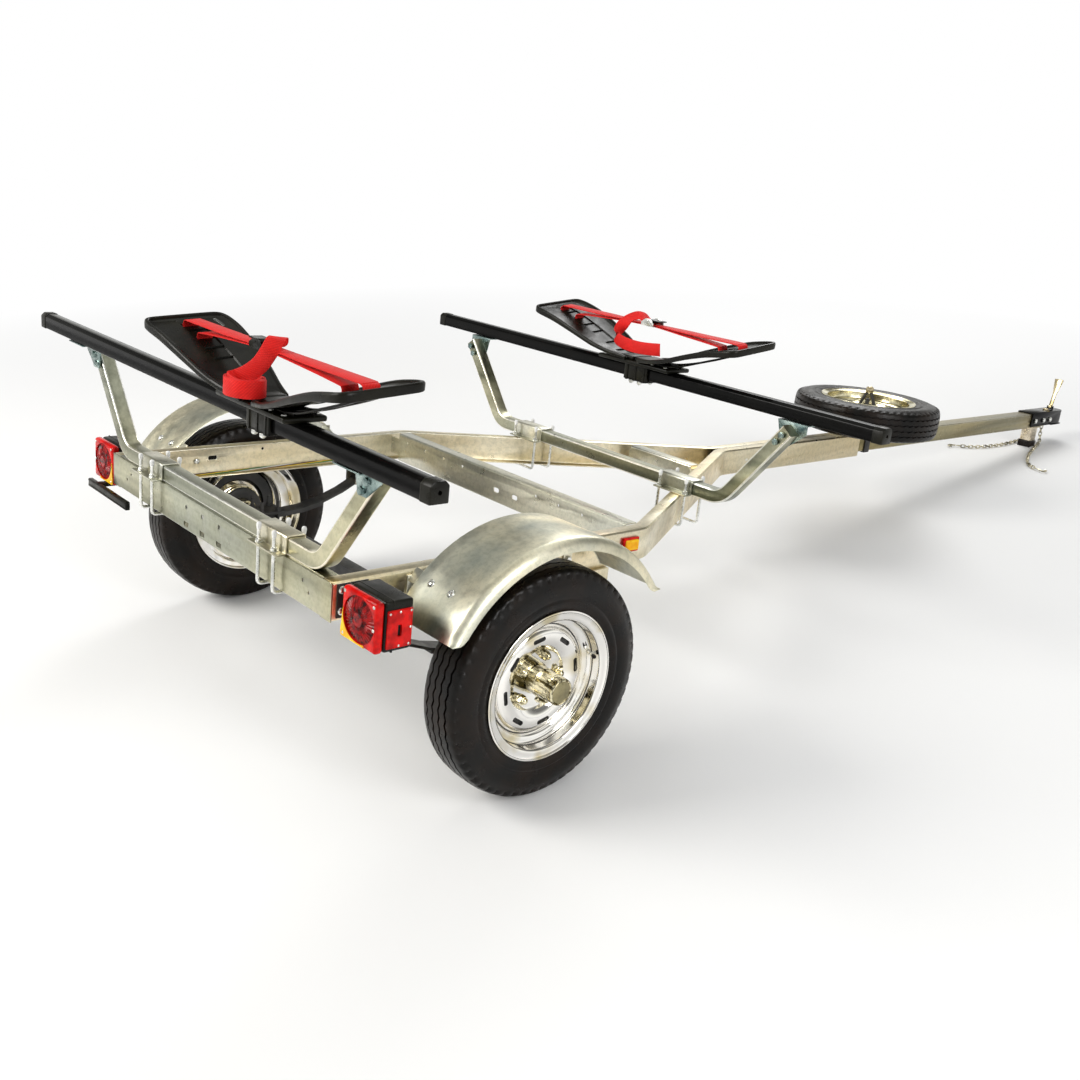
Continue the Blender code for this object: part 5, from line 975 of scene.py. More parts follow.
# %% One wing: panel, rim, ribs and root
def wing_mesh():
    panel = lofted([panel_row(x, z, w) for x, z, w in fine_stations[:-2]])
    slots = [box_mesh((x - 0.0042, -0.0198, FOOT_TOP), (x + 0.0042, 0.0198, FOOT_TOP + 0.2))
             for x in (OUTER_SLOT, INNER_SLOT)]
    panel = cut_with(panel, slots)
    ribs = []
    for y in (-0.030, 0.030):
        near, far = y - 0.0014, y + 0.0014
        rows = []
        for x, z in [(x, z) for x, z, w in fine_stations if 0.04 < x < 0.37]:
            low = FOOT_TOP + z - skirt_depth(x) - 0.001
            high = FOOT_TOP + z - PANEL_THICK - 0.002
            rows.append([(x, near, low), (x, far, low), (x, far, high), (x, near, high)])
        ribs.append(lofted(rows))
    for x, z, w in fine_stations[8:40:5]:
        low = FOOT_TOP + z - skirt_depth(x)
        high = FOOT_TOP + z - PANEL_THICK - 0.0022
        ribs.append(box_mesh((x - 0.0012, -w + 0.006, low), (x + 0.0012, w - 0.006, high)))
    root = box_mesh((0.003, -0.041, FOOT_TOP + 0.0004), (0.056, 0.041, FOOT_TOP + 0.0115), 0.004, 3)
    return joined([panel, rim_of_wing(), root] + ribs)


# %% The lower strut that shows under each wing
strut_line = [
    (0.050, 0.0010), (0.110, 0.0030), (0.170, 0.0160), (0.230, 0.0360), (0.300, 0.0600),
    (0.350, 0.0800), (0.372, 0.0920),
]


STRUT_HALF = 0.030
STRUT_THICK = 0.0052


def strut_mesh():
    rows = []
    half = STRUT_HALF
    flat = half - 0.0015
    for x, z in [(p.x, p.y) for p in smooth_route([(x, z, 0.0) for x, z in strut_line], 6)]:
        low, high = FOOT_TOP + z, FOOT_TOP + z + STRUT_THICK
        section = [(-half, low + 0.001), (-flat, low), (flat, low), (half, low + 0.001),
                   (half, high - 0.001), (flat, high), (-flat, high), (-half, high - 0.001)]
        rows.append([(x, y, height) for y, height in section])
    window = box_mesh((0.120, -0.016, FOOT_TOP - 0.02), (0.330, 0.016, FOOT_TOP + 0.12), 0.006, 2)
    return cut_with(lofted(rows), [window])


# %% Grip lines moulded near the tips
pale_print = black_coat("pale moulded lines", (0.30, 0.31, 0.29), (0.42, 0.42, 0.40), 0.5, 0.6, 900.0, 0.0002)


GRIP_FROM = 0.326
GRIP_STEP = 0.006
GRIP_Y = -0.064


def grip_lines(y):
    lines = []
    slant = Matrix.Rotation(math.radians(-28.0), 4, "Z")
    for i in range(8):
        x = GRIP_FROM + GRIP_STEP * i
        z = wing_top(x) + 0.0004 - PANEL_DISH * min(1.0, (0.0885 - abs(y)) / 0.013)
        line = box_mesh((-0.0007, -0.0045, -0.0010), (0.0007, 0.0045, 0.0006), 0.0003, 1)
        lines.append(placed(line, moved(x, y, z) @ slant))
    return joined(lines)


# %% The foot that grips the bar
BAR_GAP = 0.0004
CLAMP_WALL = 0.008
CLAMP_HALF = 0.045


def foot_mesh():
    inner, outer = BAR_HALF + BAR_GAP, BAR_HALF + CLAMP_WALL
    pieces = [box_mesh((-0.138, -0.048, inner), (0.138, 0.048, FOOT_TOP), 0.0045, 3)]
    for y in (-0.022, 0.022):
        low, high = (-0.128, y - 0.0015, BAR_HALF + 0.009), (0.128, y + 0.0015, FOOT_TOP + 0.0035)
        pieces.append(box_mesh(low, high, 0.001, 1))
    for near, far in ((-outer, -inner), (inner, outer)):
        pieces.append(box_mesh((-CLAMP_HALF, near, -outer), (CLAMP_HALF, far, BAR_HALF + 0.004), 0.0025, 2))
    pieces.append(box_mesh((-CLAMP_HALF, -outer, -outer), (CLAMP_HALF, outer, -inner), 0.0025, 2))
    for x in (-0.033, 0.0, 0.033):
        low, high = (x - 0.004, -outer - 0.002, -outer - 0.001), (x + 0.004, outer + 0.002, BAR_HALF + 0.002)
        pieces.append(box_mesh(low, high, 0.001, 1))
    return joined(pieces)


# %% Bolts of the foot
def foot_bolts():
    bolts = []
    nut = nut_mesh(0.013, 0.0075, 0.003)
    for x in (-0.0165, 0.0165):
        for y in (-0.0225, 0.0225):
            bolts.append(placed(nut, moved(x, y, -BAR_HALF - 0.0078) @ DOWNWARD))
    for x in (-0.118, -0.070, 0.070, 0.118):
        for y in (0.036, -0.036):
            bolts.append(placed(nut_mesh(0.010, 0.0035), moved(x, y, FOOT_TOP - 0.0004) @ UPWARD))
    return joined(bolts)


# %% Put the saddles together
right_wing = wing_mesh()
right_strut = strut_mesh()
for end, at in saddle_axes.items():
    for side, outward in SIDES.items():
        solid = end + "_wing_" + side
        wing = twisted(on_side(right_wing, outward), end)
        strut = twisted(on_side(right_strut, outward), end)
        lines = twisted(on_side(grip_lines(GRIP_Y * outward), outward), end)
        stand_in(solid + "_moulded", wing, plastic, "chassis", solid, at, 35)
        beside(end + "_strut_" + side, strut, plastic, "chassis", solid, at, 35)
        beside(end + "_grip_lines_" + side, lines, pale_print, "chassis", solid, at, 35)
    base = end + "_saddle_base"
    stand_in(end + "_saddle_foot", foot_mesh(), plastic, "chassis", base, at, 35)
    beside(end + "_foot_bolts", foot_bolts(), bright_zinc, "chassis", base, at, 35)
print("a wing has", len(right_wing.polygons), "faces")

# %% [markdown]
# ## The straps
# Red polyester webbing, 36 mm wide and 2 mm thick, runs through both slots of
# each wing and through a cam buckle. Webbing is flat, so it is a ribbon swept
# along its route with its own width direction at each point, and the cloth's
# weave follows its length through a map laid along the ribbon.

# %% Webbing that knows its own length and width
webbing, shader = new_finish("red webbing", (0.80, 0.016, 0.010), 0.0, 0.62, Sheen_Weight=0.05,
                             Specular_IOR_Level=0.20)
along = node(webbing, "ShaderNodeUVMap", uv_map="laid").outputs[0]
rows_of_yarn = node(webbing, "ShaderNodeTexWave", {"Vector": along}, Scale=110.0, Distortion=0.0,
                    bands_direction="X")
twill = node(webbing, "ShaderNodeTexWave", {"Vector": along}, Scale=95.0, Distortion=0.4,
             bands_direction="DIAGONAL")
weave = node(webbing, "ShaderNodeMath", {0: rows_of_yarn.outputs["Fac"], 1: twill.outputs["Fac"]},
             operation="MULTIPLY")
yarn = shades(webbing, weave.outputs[0], (0.66, 0.007, 0.006), (0.93, 0.024, 0.015))
worn = shades(webbing, speckle(webbing, 45.0, 4.0), (0.86, 0.84, 0.84), (1.0, 1.0, 1.0), 0.35, 0.65)
join(webbing, multiplied(webbing, yarn, worn), shader.inputs["Base Color"])
dents(webbing, shader, weave.outputs[0], 0.55, 0.0005)


# %% A ribbon along a route
def ribbon(route, across, width, thick):
    half = width / 2
    edge = [(-half, -thick * 0.25), (-half + thick * 0.4, -thick / 2), (half - thick * 0.4, -thick / 2),
            (half, -thick * 0.25), (half, thick * 0.25), (half - thick * 0.4, thick / 2),
            (-half + thick * 0.4, thick / 2), (-half, thick * 0.25)]
    points = []
    laid = []
    far = 0.0
    for i, p in enumerate(route):
        ahead = step_at(route, i).normalized()
        side = (across[i] - ahead * across[i].dot(ahead)).normalized()
        rise = ahead.cross(side)
        far += (p - route[i - 1]).length if i else 0.0
        points += [p + side * a + rise * b for a, b in edge]
        laid += [(a, far) for a, b in edge]
    mesh = mesh_of(points, skin(len(route), len(edge)))
    laid_map = mesh.uv_layers.new(name="laid")
    for loop in mesh.loops:
        laid_map.data[loop.index].uv = laid[loop.vertex_index]
    return mesh


def joined_ribbons(meshes):
    maps = [[tuple(spot.uv) for spot in mesh.uv_layers["laid"].data] for mesh in meshes]
    whole = joined(meshes)
    laid_map = whole.uv_layers.new(name="laid")
    at = 0
    for places in maps:
        for uv in places:
            laid_map.data[at].uv = uv
            at += 1
    return whole


# %% The runs of the strap through the wings
STRAP_WIDE = 0.036
STRAP_THICK = 0.0020
UPPER_RUN = 0.1385
BUCKLE_AT = {"rear": -0.020, "front": 0.020}


UNDER_PANEL = 0.0048


def run_points(buckle):
    upper = UPPER_RUN
    near, far = INNER_SLOT, OUTER_SLOT
    low_in = wing_top(near) - 0.0085
    low_out = wing_top(far) - 0.0085
    right = [
        (far - 0.026, upper - 0.0004), (far - 0.009, upper - 0.0014), (far - 0.0018, upper - 0.0044),
        (far, upper - 0.0095), (far - 0.0006, low_out - 0.002), (far - 0.006, low_out - UNDER_PANEL),
        ((far + near) / 2, (low_in + low_out) / 2 - UNDER_PANEL), (near + 0.006, low_in - UNDER_PANEL),
        (near + 0.0006, low_in - 0.001), (near, low_in + 0.006), (near - 0.0030, low_in + 0.0115),
        (near - 0.016, low_in + 0.0146),
    ]
    under = upper - 0.0040
    middle = (low_in + 0.0150 + under) / 2
    reach = 0.018 if buckle > 0 else 0.013
    loop = [(buckle + 0.018, upper), (0.16, upper - 0.0010)] + right
    loop += [(0.150, middle + 0.001), (buckle + 0.022, under), (buckle - 0.022, under),
             (-0.160, middle + 0.0015)]
    loop += [(-x, z) for x, z in right[::-1]]
    loop += [(-0.16, upper - 0.0010), (buckle - reach, upper)]
    return [Vector((x, 0.0, z)) for x, z in loop]


# %% The free tails: where each goes from the buckle, and which way its width lies
tails = {
    "rear": [
        ((-0.030, 0.000, 0.0020), (0.0, 1.0, 0.0)), ((-0.006, 0.000, 0.0024), (0.0, 1.0, 0.0)),
        ((0.012, 0.001, 0.0040), (0.05, 1.0, 0.0)), ((0.023, 0.002, 0.0130), (0.3, 0.95, 0.0)),
        ((0.028, 0.000, 0.0230), (0.5, 0.86, 0.0)), ((0.036, -0.008, 0.0260), (0.6, 0.80, -0.05)),
        ((0.045, -0.020, 0.0190), (0.62, 0.75, -0.25)),
        ((0.044, -0.030, 0.0010), (0.54, 0.60, -0.59)),
        ((0.020, -0.036, -0.0290), (0.44, 0.49, -0.75)),
        ((-0.010, -0.046, -0.0520), (0.25, 0.28, -0.93)),
        ((-0.030, -0.058, -0.0640), (0.0, 0.0, -1.0)),
    ],
    "front": [
        ((0.030, 0.000, 0.0020), (0.0, 1.0, 0.0)), ((0.004, 0.000, 0.0030), (0.0, 1.0, 0.0)),
        ((-0.012, 0.000, 0.0100), (0.0, 0.96, 0.20)), ((-0.028, -0.002, 0.0160), (0.0, 0.85, 0.50)),
        ((-0.048, -0.008, 0.0130), (0.10, 0.66, 0.74)),
        ((-0.066, -0.018, -0.0020), (0.20, 0.40, 0.88)),
        ((-0.079, -0.030, -0.0260), (0.15, 0.15, 0.97)),
        ((-0.080, -0.040, -0.0480), (0.05, 0.05, 1.0)),
        ((-0.056, -0.045, -0.0600), (0.0, 0.0, 1.0)), ((-0.020, -0.046, -0.0650), (0.0, 0.0, 1.0)),
        ((0.020, -0.045, -0.0660), (0.0, 0.0, 1.0)), ((0.060, -0.043, -0.0630), (0.0, 0.0, 1.0)),
        ((0.096, -0.042, -0.0570), (0.0, 0.0, 1.0)),
    ],
}
COIL_MIDDLE = Vector((-0.010, -0.050, 0.0))
COIL_FLOOR = 0.0140
COIL_TURNS = 3.6
COIL_STEPS = 88
COIL_RADIUS = 0.0330
COIL_GROWTH = 0.0115


def tail_mesh(end):
    places = [Vector(place) + Vector((0.0, 0.0, UPPER_RUN)) for place, _ in tails[end]]
    widths = [Vector(width) for _, width in tails[end]]
    if end == "rear":
        last = places[-1]
        start = math.atan2(last.y - COIL_MIDDLE.y, last.x - COIL_MIDDLE.x)
        level = FOOT_TOP + COIL_FLOOR + STRAP_WIDE / 2
        for i in range(2, COIL_STEPS):
            share = i / COIL_STEPS
            angle = start + 2 * math.pi * COIL_TURNS * share
            radius = COIL_RADIUS + COIL_GROWTH * share
            drop = (last.z - level) * max(0.0, 1.0 - share * 12.0)
            out = Vector((1.05 * math.cos(angle), 0.90 * math.sin(angle), 0.0)) * radius
            places.append(COIL_MIDDLE + out + Vector((0.0, 0.0, level + drop)))
            widths.append(Vector((0.0, 0.0, -1.0)))
    route = smooth_route(places, 6)
    across = smooth_route(widths, 6)
    return ribbon(route, across, STRAP_WIDE * 0.97, STRAP_THICK)


# %% Lay the straps
for end, at in saddle_axes.items():
    route = smooth_route(run_points(BUCKLE_AT[end]), 5)
    across = [Vector((0.0, 1.0, 0.0))] * len(route)
    strap = joined_ribbons([ribbon(route, across, STRAP_WIDE, STRAP_THICK), tail_mesh(end)])
    stand_in(end + "_strap_woven", twisted(strap, end), webbing, "chassis", end + "_strap", at, 60)
    print(end, "strap laid")

# %% [markdown]
# ## Rolled and pressed steel
# The rails are rolled channels and the tongue is a square tube. Such steel has
# softly rounded edges, and each edge draws a bright line of light. The solids'
# own shapes are right, so each is copied, its flat faces are merged and its
# sharp edges are rounded by one to three millimetres. On the rails, crossmembers
# and tongue the rounded faces get a near-white finish, a painted highlight.

# %% A copy of a solid with rounded edges
SAME_POINT = 0.00002
ALMOST_FLAT = math.radians(0.6)
SHARP = math.radians(35.0)


def eased_copy(name, width):
    shape = bmesh.new()
    shape.from_mesh(trailer[name].data)
    bmesh.ops.remove_doubles(shape, verts=shape.verts[:], dist=SAME_POINT)
    bmesh.ops.dissolve_limit(shape, angle_limit=ALMOST_FLAT, verts=shape.verts[:], edges=shape.edges[:])
    sharp = [e for e in shape.edges if len(e.link_faces) == 2 and e.calc_face_angle(0.0) > SHARP]
    bmesh.ops.bevel(shape, geom=sharp, offset=width, segments=2, profile=0.5, affect="EDGES",
                    clamp_overlap=True, material=1)
    bmesh.ops.triangulate(shape, faces=[f for f in shape.faces if len(f.verts) > 4])
    mesh = bpy.data.meshes.new("shape")
    shape.to_mesh(mesh)
    shape.free()
    return mesh


# %% Round the edges of the frame's steel, with a painted highlight on the rounded faces
HERE = Matrix.Identity(4)
eased_width = {
    "rail_left": 0.0016, "rail_right": 0.0016, "rear_crossmember": 0.0018,
    "middle_crossmember": 0.0018, "front_crossmember": 0.0016, "tongue": 0.0030, "coupler": 0.0016,
    "stand_leg": 0.0025, "spare_carrier": 0.0010, "rear_bar_bracket_left": 0.0008,
    "rear_bar_bracket_right": 0.0008, "front_bar_bracket_left": 0.0008,
    "front_bar_bracket_right": 0.0008, "rear_buckle": 0.0008, "front_buckle": 0.0008,
}
cable_slots = [box_mesh((x - 0.0120, 0.425, 0.1845), (x + 0.0120, 0.445, 0.1975), 0.0050, 3)
               for x in (-0.013, 0.066)]
cable_slots = [placed(slot, frame_axes) for slot in cable_slots]
edged = (shaded_steel, galvanised_along_x, galvanised_along_y, tongue_steel)
for name, width in eased_width.items():
    copy = eased_copy(name, width)
    if name == "middle_crossmember":
        copy = cut_with(copy, cable_slots)
    eased = stand_in(name + "_eased", copy, finish_of[name], "chassis", name, HERE, 35)
    if finish_of[name] in edged:
        eased.data.materials.append(painted_edge_highlight)
movers = ("coupler_lever", "coupler_jaw", "axle", "rear_buckle_lever", "front_buckle_lever")
for name in movers:
    stand_in(name + "_eased", eased_copy(name, 0.0009), finish_of[name], name, name, HERE, 35)
print("eased", len(eased_width) + len(movers), "solids")

# %% Nuts of the coupler, and the yoke and nut that hold the spare wheel down
coupler_nut = nut_mesh(0.0205, 0.0078, 0.0020)
coupler_nuts = [placed(coupler_nut, moved(0.0361, y, 0.2060)) for y in (3.556, 3.634, 3.700)]
coupler_nuts += [placed(nut, MIRROR_X) for nut in coupler_nuts]
beside("coupler_nuts", joined(coupler_nuts), bright_zinc, "chassis", "coupler")
YOKE_SPREAD = 25.6
yoke = []
for flank in (-1, 1):
    leg = box_mesh((-0.0045, -0.0040, -0.0416), (0.0045, 0.0040, 0.0416), 0.0012, 2)
    turn = Matrix.Rotation(math.radians(-YOKE_SPREAD * flank), 4, "Y")
    yoke.append(placed(leg, moved(0.022 * flank, SPARE_Y, 0.3625) @ turn))
beside("spare_yoke", joined(yoke), spring_black, "chassis", "spare_carrier")
yoke_nut = placed(nut_mesh(0.0240, 0.0200, 0.0040), moved(0.0, SPARE_Y, 0.3900) @ UPWARD)
beside("spare_yoke_nut", yoke_nut, yellow_zinc, "chassis", "spare_carrier")
print(len(coupler_nuts), "nuts on the coupler,", len(yoke), "arms on the yoke")

# %% The stand's rubber shoe
foot = "stand_foot"
shoe = stand_in(foot + "_eased", eased_copy(foot, 0.0030), rubber, "chassis", foot, HERE, 35)
print("the shoe has", len(shoe.data.polygons), "faces")

# %% [markdown]
# ## Bent tubes, hat plates and bars
# Each load bar stands on a square tube bent up at both ends. The tube is swept
# along its route with a round-cornered section, its corners given a painted
# highlight. A pressed hat plate holds it to the frame, drawn as one line of sheet
# given its thickness, and two round U-bolts with white domes on their ends clamp
# each plate.

# %% Sections: a round-cornered square, a rounded line, a bent sheet
CORNER_STEPS = 4


def rounded_square(half, corner):
    points = []
    for across, rise, start in ((1, 1, 0), (-1, 1, 90), (-1, -1, 180), (1, -1, 270)):
        for i in range(CORNER_STEPS + 1):
            angle = math.radians(start + 90 * i / CORNER_STEPS)
            points.append((across * (half - corner) + corner * math.cos(angle),
                           rise * (half - corner) + corner * math.sin(angle)))
    return points


def rounded_line(corners, radius, steps):
    line = [Vector(corners[0])]
    for before, corner, after in zip(corners, corners[1:], corners[2:]):
        corner = Vector(corner)
        back = (Vector(before) - corner).normalized()
        onward = (Vector(after) - corner).normalized()
        reach = radius / math.tan(back.angle(onward) / 2)
        for i in range(steps + 1):
            t = i / steps
            line.append((corner + back * reach) * (1 - t) ** 2 + corner * (2 * t * (1 - t))
                        + (corner + onward * reach) * t ** 2)
    line.append(Vector(corners[-1]))
    return line


def sheet_section(line, thick):
    one = []
    other = []
    for i, p in enumerate(line):
        ahead = step_at(line, i).normalized()
        out = Vector((-ahead.y, ahead.x)) * (thick / 2)
        one.append(p + out)
        other.append(p - out)
    return [tuple(p) for p in one + other[::-1]]


# %% Push a section along x and round its edges
def pushed_along_x(section, low, high, edge):
    mesh = lofted([[(x, a, b) for a, b in section] for x in (low, high)])
    shape = bmesh.new()
    shape.from_mesh(mesh)
    sharp = [e for e in shape.edges if e.calc_face_angle(0.0) > math.radians(50)]
    bmesh.ops.bevel(shape, geom=sharp, offset=edge, segments=2, profile=0.5, affect="EDGES")
    shape.to_mesh(mesh)
    shape.free()
    return mesh


# %% The bent support tubes, in painted shade, with a painted highlight on their rounded corners
SUPPORT_LEVEL = 0.2603
SUPPORT_AT = {"rear": -0.415, "front": 0.824}
SUPPORT_TOP = (0.6459, 0.4880)
SUPPORT_BEND = 0.468
SUPPORT_ROUND = 0.080
SUPPORT_HALF = 0.019
SUPPORT_CORNER = 0.0045
support_line = rounded_line([(-SUPPORT_TOP[0], SUPPORT_TOP[1]), (-SUPPORT_BEND, SUPPORT_LEVEL),
                             (SUPPORT_BEND, SUPPORT_LEVEL), SUPPORT_TOP], SUPPORT_ROUND, 14)


def support_shape(y):
    square = rounded_square(SUPPORT_HALF, SUPPORT_CORNER)
    rows = []
    for i, p in enumerate(support_line):
        ahead = step_at(support_line, i).normalized()
        out = Vector((-ahead.y, ahead.x))
        rows.append([(p.x + out.x * b, y + a, p.y + out.y * b) for a, b in square])
    tube = lofted(rows)
    for face in tube.polygons[:-2]:
        is_flat = face.index % (CORNER_STEPS + 1) == CORNER_STEPS
        face.material_index = 0 if is_flat else 1
    return tube


for end, y in SUPPORT_AT.items():
    tube = stand_in(end + "_support_bent", support_shape(y), shaded_steel, "chassis", end + "_support")
    tube.data.materials.append(painted_edge_highlight)

# %% Hat plates and their U-bolts
HAT_SHEET = 0.004
HAT_HALF = 0.060
hat_line = rounded_line([(-0.0463, 0.2435), (-0.0215, 0.2435), (-0.0215, 0.2818), (0.0215, 0.2818),
                         (0.0215, 0.2435), (0.0463, 0.2435)], 0.0045, 4)
hat_section = sheet_section(hat_line, HAT_SHEET)
ROD = 0.0040
ROD_TURN = 0.012
ROD_TOP = 0.2850
ROD_LOW = {"rear": 0.1517, "front": 0.1537}
PLATE_TOP = 0.2455
DOME_FOOT = 0.2745
WASHER_THICK = 0.0016
washer_section = [
    (0.0, 0.0042), (0.0, 0.0084), (0.0006, 0.0088), (0.0014, 0.0086), (WASHER_THICK, 0.0042),
]
dome_section = [
    (0.0, 0.0046), (0.006, 0.0054), (0.0095, 0.0056), (0.0125, 0.0050), (0.0146, 0.0034), (0.0154, 0.0008),
]


def u_bolt_route(half, low):
    corners = [(-half, ROD_TOP), (-half, low), (half, low), (half, ROD_TOP)]
    return rounded_line(corners, ROD_TURN, 6)


def stud_dressing(x, y):
    upright = moved(x, y, PLATE_TOP) @ UPWARD
    on_washer = upright @ moved(WASHER_THICK, 0.0, 0.0)
    return [placed(turned(washer_section, 20), upright), placed(nut_mesh(0.0130, 0.0064), on_washer)]


def white_dome(x, y):
    return placed(turned(dome_section, 16, closed=False), moved(x, y, DOME_FOOT) @ UPWARD)


# %% Fit the four clamps
white_dome_finish = black_coat("white stud domes", (0.80, 0.80, 0.78), (0.92, 0.92, 0.90), 0.3, 0.5, 600.0, 0.0002)
CLAMP_AT = {"rear": 0.295, "front": 0.3131}
STUD_X = {"rear": 0.032, "front": 0.048}
STUD_Y = 0.0348
for end, y in SUPPORT_AT.items():
    for side, outward in SIDES.items():
        x = outward * CLAMP_AT[end]
        wide = (-STUD_X[end], STUD_X[end])
        deep = (-STUD_Y, STUD_Y)
        solid = end + "_clamp_" + side
        hat = pushed_along_x([(y + a, b) for a, b in hat_section], x - HAT_HALF, x + HAT_HALF, 0.0007)
        if end == "rear":
            route = u_bolt_route(STUD_Y, ROD_LOW[end])
            lines = [[Vector((x + a, y + p.x, p.y)) for p in route] for a in wide]
        else:
            route = u_bolt_route(STUD_X[end], ROD_LOW[end])
            lines = [[Vector((x + p.x, y + b, p.y)) for p in route] for b in deep]
        rods = [wire(line, ROD, 10) for line in lines]
        studs = [(x + a, y + b) for a in wide for b in deep]
        nuts = [part for a, b in studs for part in stud_dressing(a, b)]
        stand_in(solid + "_pressed", hat, galvanised_along_x, "chassis", solid, frame_axes, 35)
        beside(solid + "_rods", joined(rods + nuts), bright_zinc, "chassis", solid, frame_axes, 35)
        # White domes on the stud ends, painted near white.
        beside(solid + "_caps", joined([white_dome(a, b) for a, b in studs]), white_dome_finish, "chassis", solid)
        print(solid, "stands at x", round(x, 3), "on", len(studs), "studs")

# %% The load bars and their end caps
bar_half_section = [(0.019, -0.0175), (0.019, 0.0100), (0.0180, 0.0122), (0.0122, 0.0180), (0.0100, 0.019)]
bar_section = bar_half_section + [(-a, b) for a, b in bar_half_section[::-1]]
bar_section += [(-0.0175, -0.019), (0.0175, -0.019)]
cap_profile = [
    (0.8552, 1.010), (0.8556, 1.055), (0.8564, 1.063), (0.8600, 1.063), (0.8604, 1.045),
    (0.8612, 1.045), (0.8616, 1.063), (0.8820, 1.060), (0.8840, 1.035), (0.8850, 0.960),
]


BAR_STATIONS = (-0.857, -0.6, -0.3, 0.0, 0.3, 0.6, 0.857)


def bar_shape(at):
    return lofted([[at + Vector((x, a, b)) for a, b in bar_section] for x in BAR_STATIONS])


def cap_shape(at, outward):
    plug = lofted([[at + Vector((outward * x, a * grow, b * grow)) for a, b in bar_section]
                   for x, grow in cap_profile])
    hole = on_side(turned([(0.874, 0.0042), (0.890, 0.0042)], 14, closed=False), outward)
    return cut_with(plug, [placed(hole, Matrix.Translation(at))])


for end, y in BAR_AT.items():
    at = Vector((0.0, y, BAR_HEIGHT))
    bar = end + "_load_bar"
    stand_in(end + "_bar_enamelled", bar_shape(at), enamel, "chassis", bar, frame_axes, 30)
    caps = joined([cap_shape(at, outward) for outward in SIDES.values()])
    beside(end + "_bar_caps", caps, plastic, "chassis", bar)
    print(bar, "crosses at y", y)

# %% Rims of the punched holes in the rear crossmember
REAR_FACE = -0.4322


def ring_shape(x, z, radius, thick):
    route = []
    for k in range(20):
        angle = 2 * math.pi * k / 20
        route.append(Vector((x + radius * math.cos(angle), REAR_FACE, z + radius * math.sin(angle))))
    return wire(route, thick, 6, closed=True)


HOLE_STEP = 0.082
rear_rims = [ring_shape(-0.026 + HOLE_STEP * i, 0.213, 0.0066, 0.0008) for i in (-1, 0, 1)]
for x, z in ((0.420, 0.211), (0.445, 0.191)):
    rear_rims += [ring_shape(outward * x, z, 0.0048, 0.0006) for outward in SIDES.values()]
beside("rear_hole_rims", joined(rear_rims), bright_zinc, "chassis", "rear_crossmember")
print(len(rear_rims), "holes rimmed")

# %% [markdown]
# ## Fenders
# A fender is one sheet rolled to the wheel's arc, with its outer edge turned
# down and closed in a round corner at each end. The sheet's section is drawn
# as a line with thickness and carried round the arc. Two flat arms hold it,
# and round slotted bolts join sheet and arm.

# %% The rolled sheet
FENDER_RADIUS = 0.340
FENDER_SHEET = 0.0025
FENDER_LIP = 0.024
FENDER_FROM = math.radians(33.0)
FENDER_TO = math.radians(152.0)
FENDER_STEPS = 84
FENDER_EDGE = 0.7258


def lip_share(angle):
    near_end = min(angle - FENDER_FROM, FENDER_TO - angle) * FENDER_RADIUS / 0.036
    return math.sqrt(1.0 - (1.0 - min(1.0, near_end)) ** 2)


def fender_line(angle):
    middle = FENDER_RADIUS - FENDER_SHEET / 2
    deep = FENDER_LIP * lip_share(angle)
    line = [(0.5562, middle - 0.0030), (0.5570, middle - 0.0008), (0.5590, middle)]
    line += [(0.5590 + 0.028 * i, middle) for i in range(1, 6)]
    line += [(FENDER_EDGE, middle)]
    for i in range(1, 9):
        turn = math.radians(90.0 * i / 8)
        x = FENDER_EDGE + (FENDER_LIP - FENDER_SHEET / 2) * math.sin(turn)
        line.append((x, middle - deep * (1.0 - math.cos(turn))))
    line.append((0.7480, middle - deep - 0.0022 * lip_share(angle)))
    return [Vector(p) for p in line]


def fender_sheet():
    rows = []
    for i in range(FENDER_STEPS + 1):
        angle = FENDER_FROM + (FENDER_TO - FENDER_FROM) * i / FENDER_STEPS
        section = sheet_section(fender_line(angle), FENDER_SHEET)
        rows.append([(x, r * math.cos(angle), r * math.sin(angle)) for x, r in section])
    return lofted(rows)


# %% Arms, tabs and round slotted bolts
def slotted_head(radius, height):
    head = turned([(0.0, radius), (0.30 * height, radius * 0.98), (0.62 * height, radius * 0.82),
                   (0.86 * height, radius * 0.52), (height, radius * 0.12)], 24, closed=False)
    slot = box_mesh((height * 0.55, -radius * 0.16, -radius), (height * 2, radius * 0.16, radius))
    return cut_with(head, [slot])


RAIL_MIDDLE = 0.198
RAIL_SIDE = 0.5294
TAB_SIDE = 0.5333
ARM_ANGLES = (math.radians(54.0), math.radians(136.6))
ARM_RADIUS = 0.335


def fender_fittings():
    steel = []
    bolts = []
    for angle in ARM_ANGLES:
        turn = Matrix.Rotation(angle - math.pi / 2, 4, "X")
        arm = box_mesh((RAIL_SIDE, -0.017, 0.3330), (0.6793, 0.017, 0.3374), 0.0012, 2)
        steel.append(placed(arm, turn))
        y, z = ARM_RADIUS * math.cos(angle), ARM_RADIUS * math.sin(angle)
        steel.append(box_mesh((RAIL_SIDE, y - 0.0136, 0.180), (TAB_SIDE, y + 0.0136, z), 0.0010, 2))
        for x, slot_turn in ((0.600, 35.0), (0.665, -20.0)):
            at = turn @ moved(x, 0.0, FENDER_RADIUS) @ UPWARD
            at = at @ Matrix.Rotation(math.radians(slot_turn), 4, "X")
            bolts.append(placed(slotted_head(0.0090, 0.0050), at))
        bolts.append(placed(nut_mesh(0.0150, 0.0058), moved(TAB_SIDE, y, RAIL_MIDDLE)))
    return joined(steel), joined(bolts)


def rail_bolts():
    inward = Matrix.Rotation(math.radians(180.0), 4, "Z")
    head = slotted_head(0.0085, 0.0045)
    return joined([placed(head, moved(0.5248, y, RAIL_MIDDLE) @ inward) for y in (-0.208, 0.1969)])


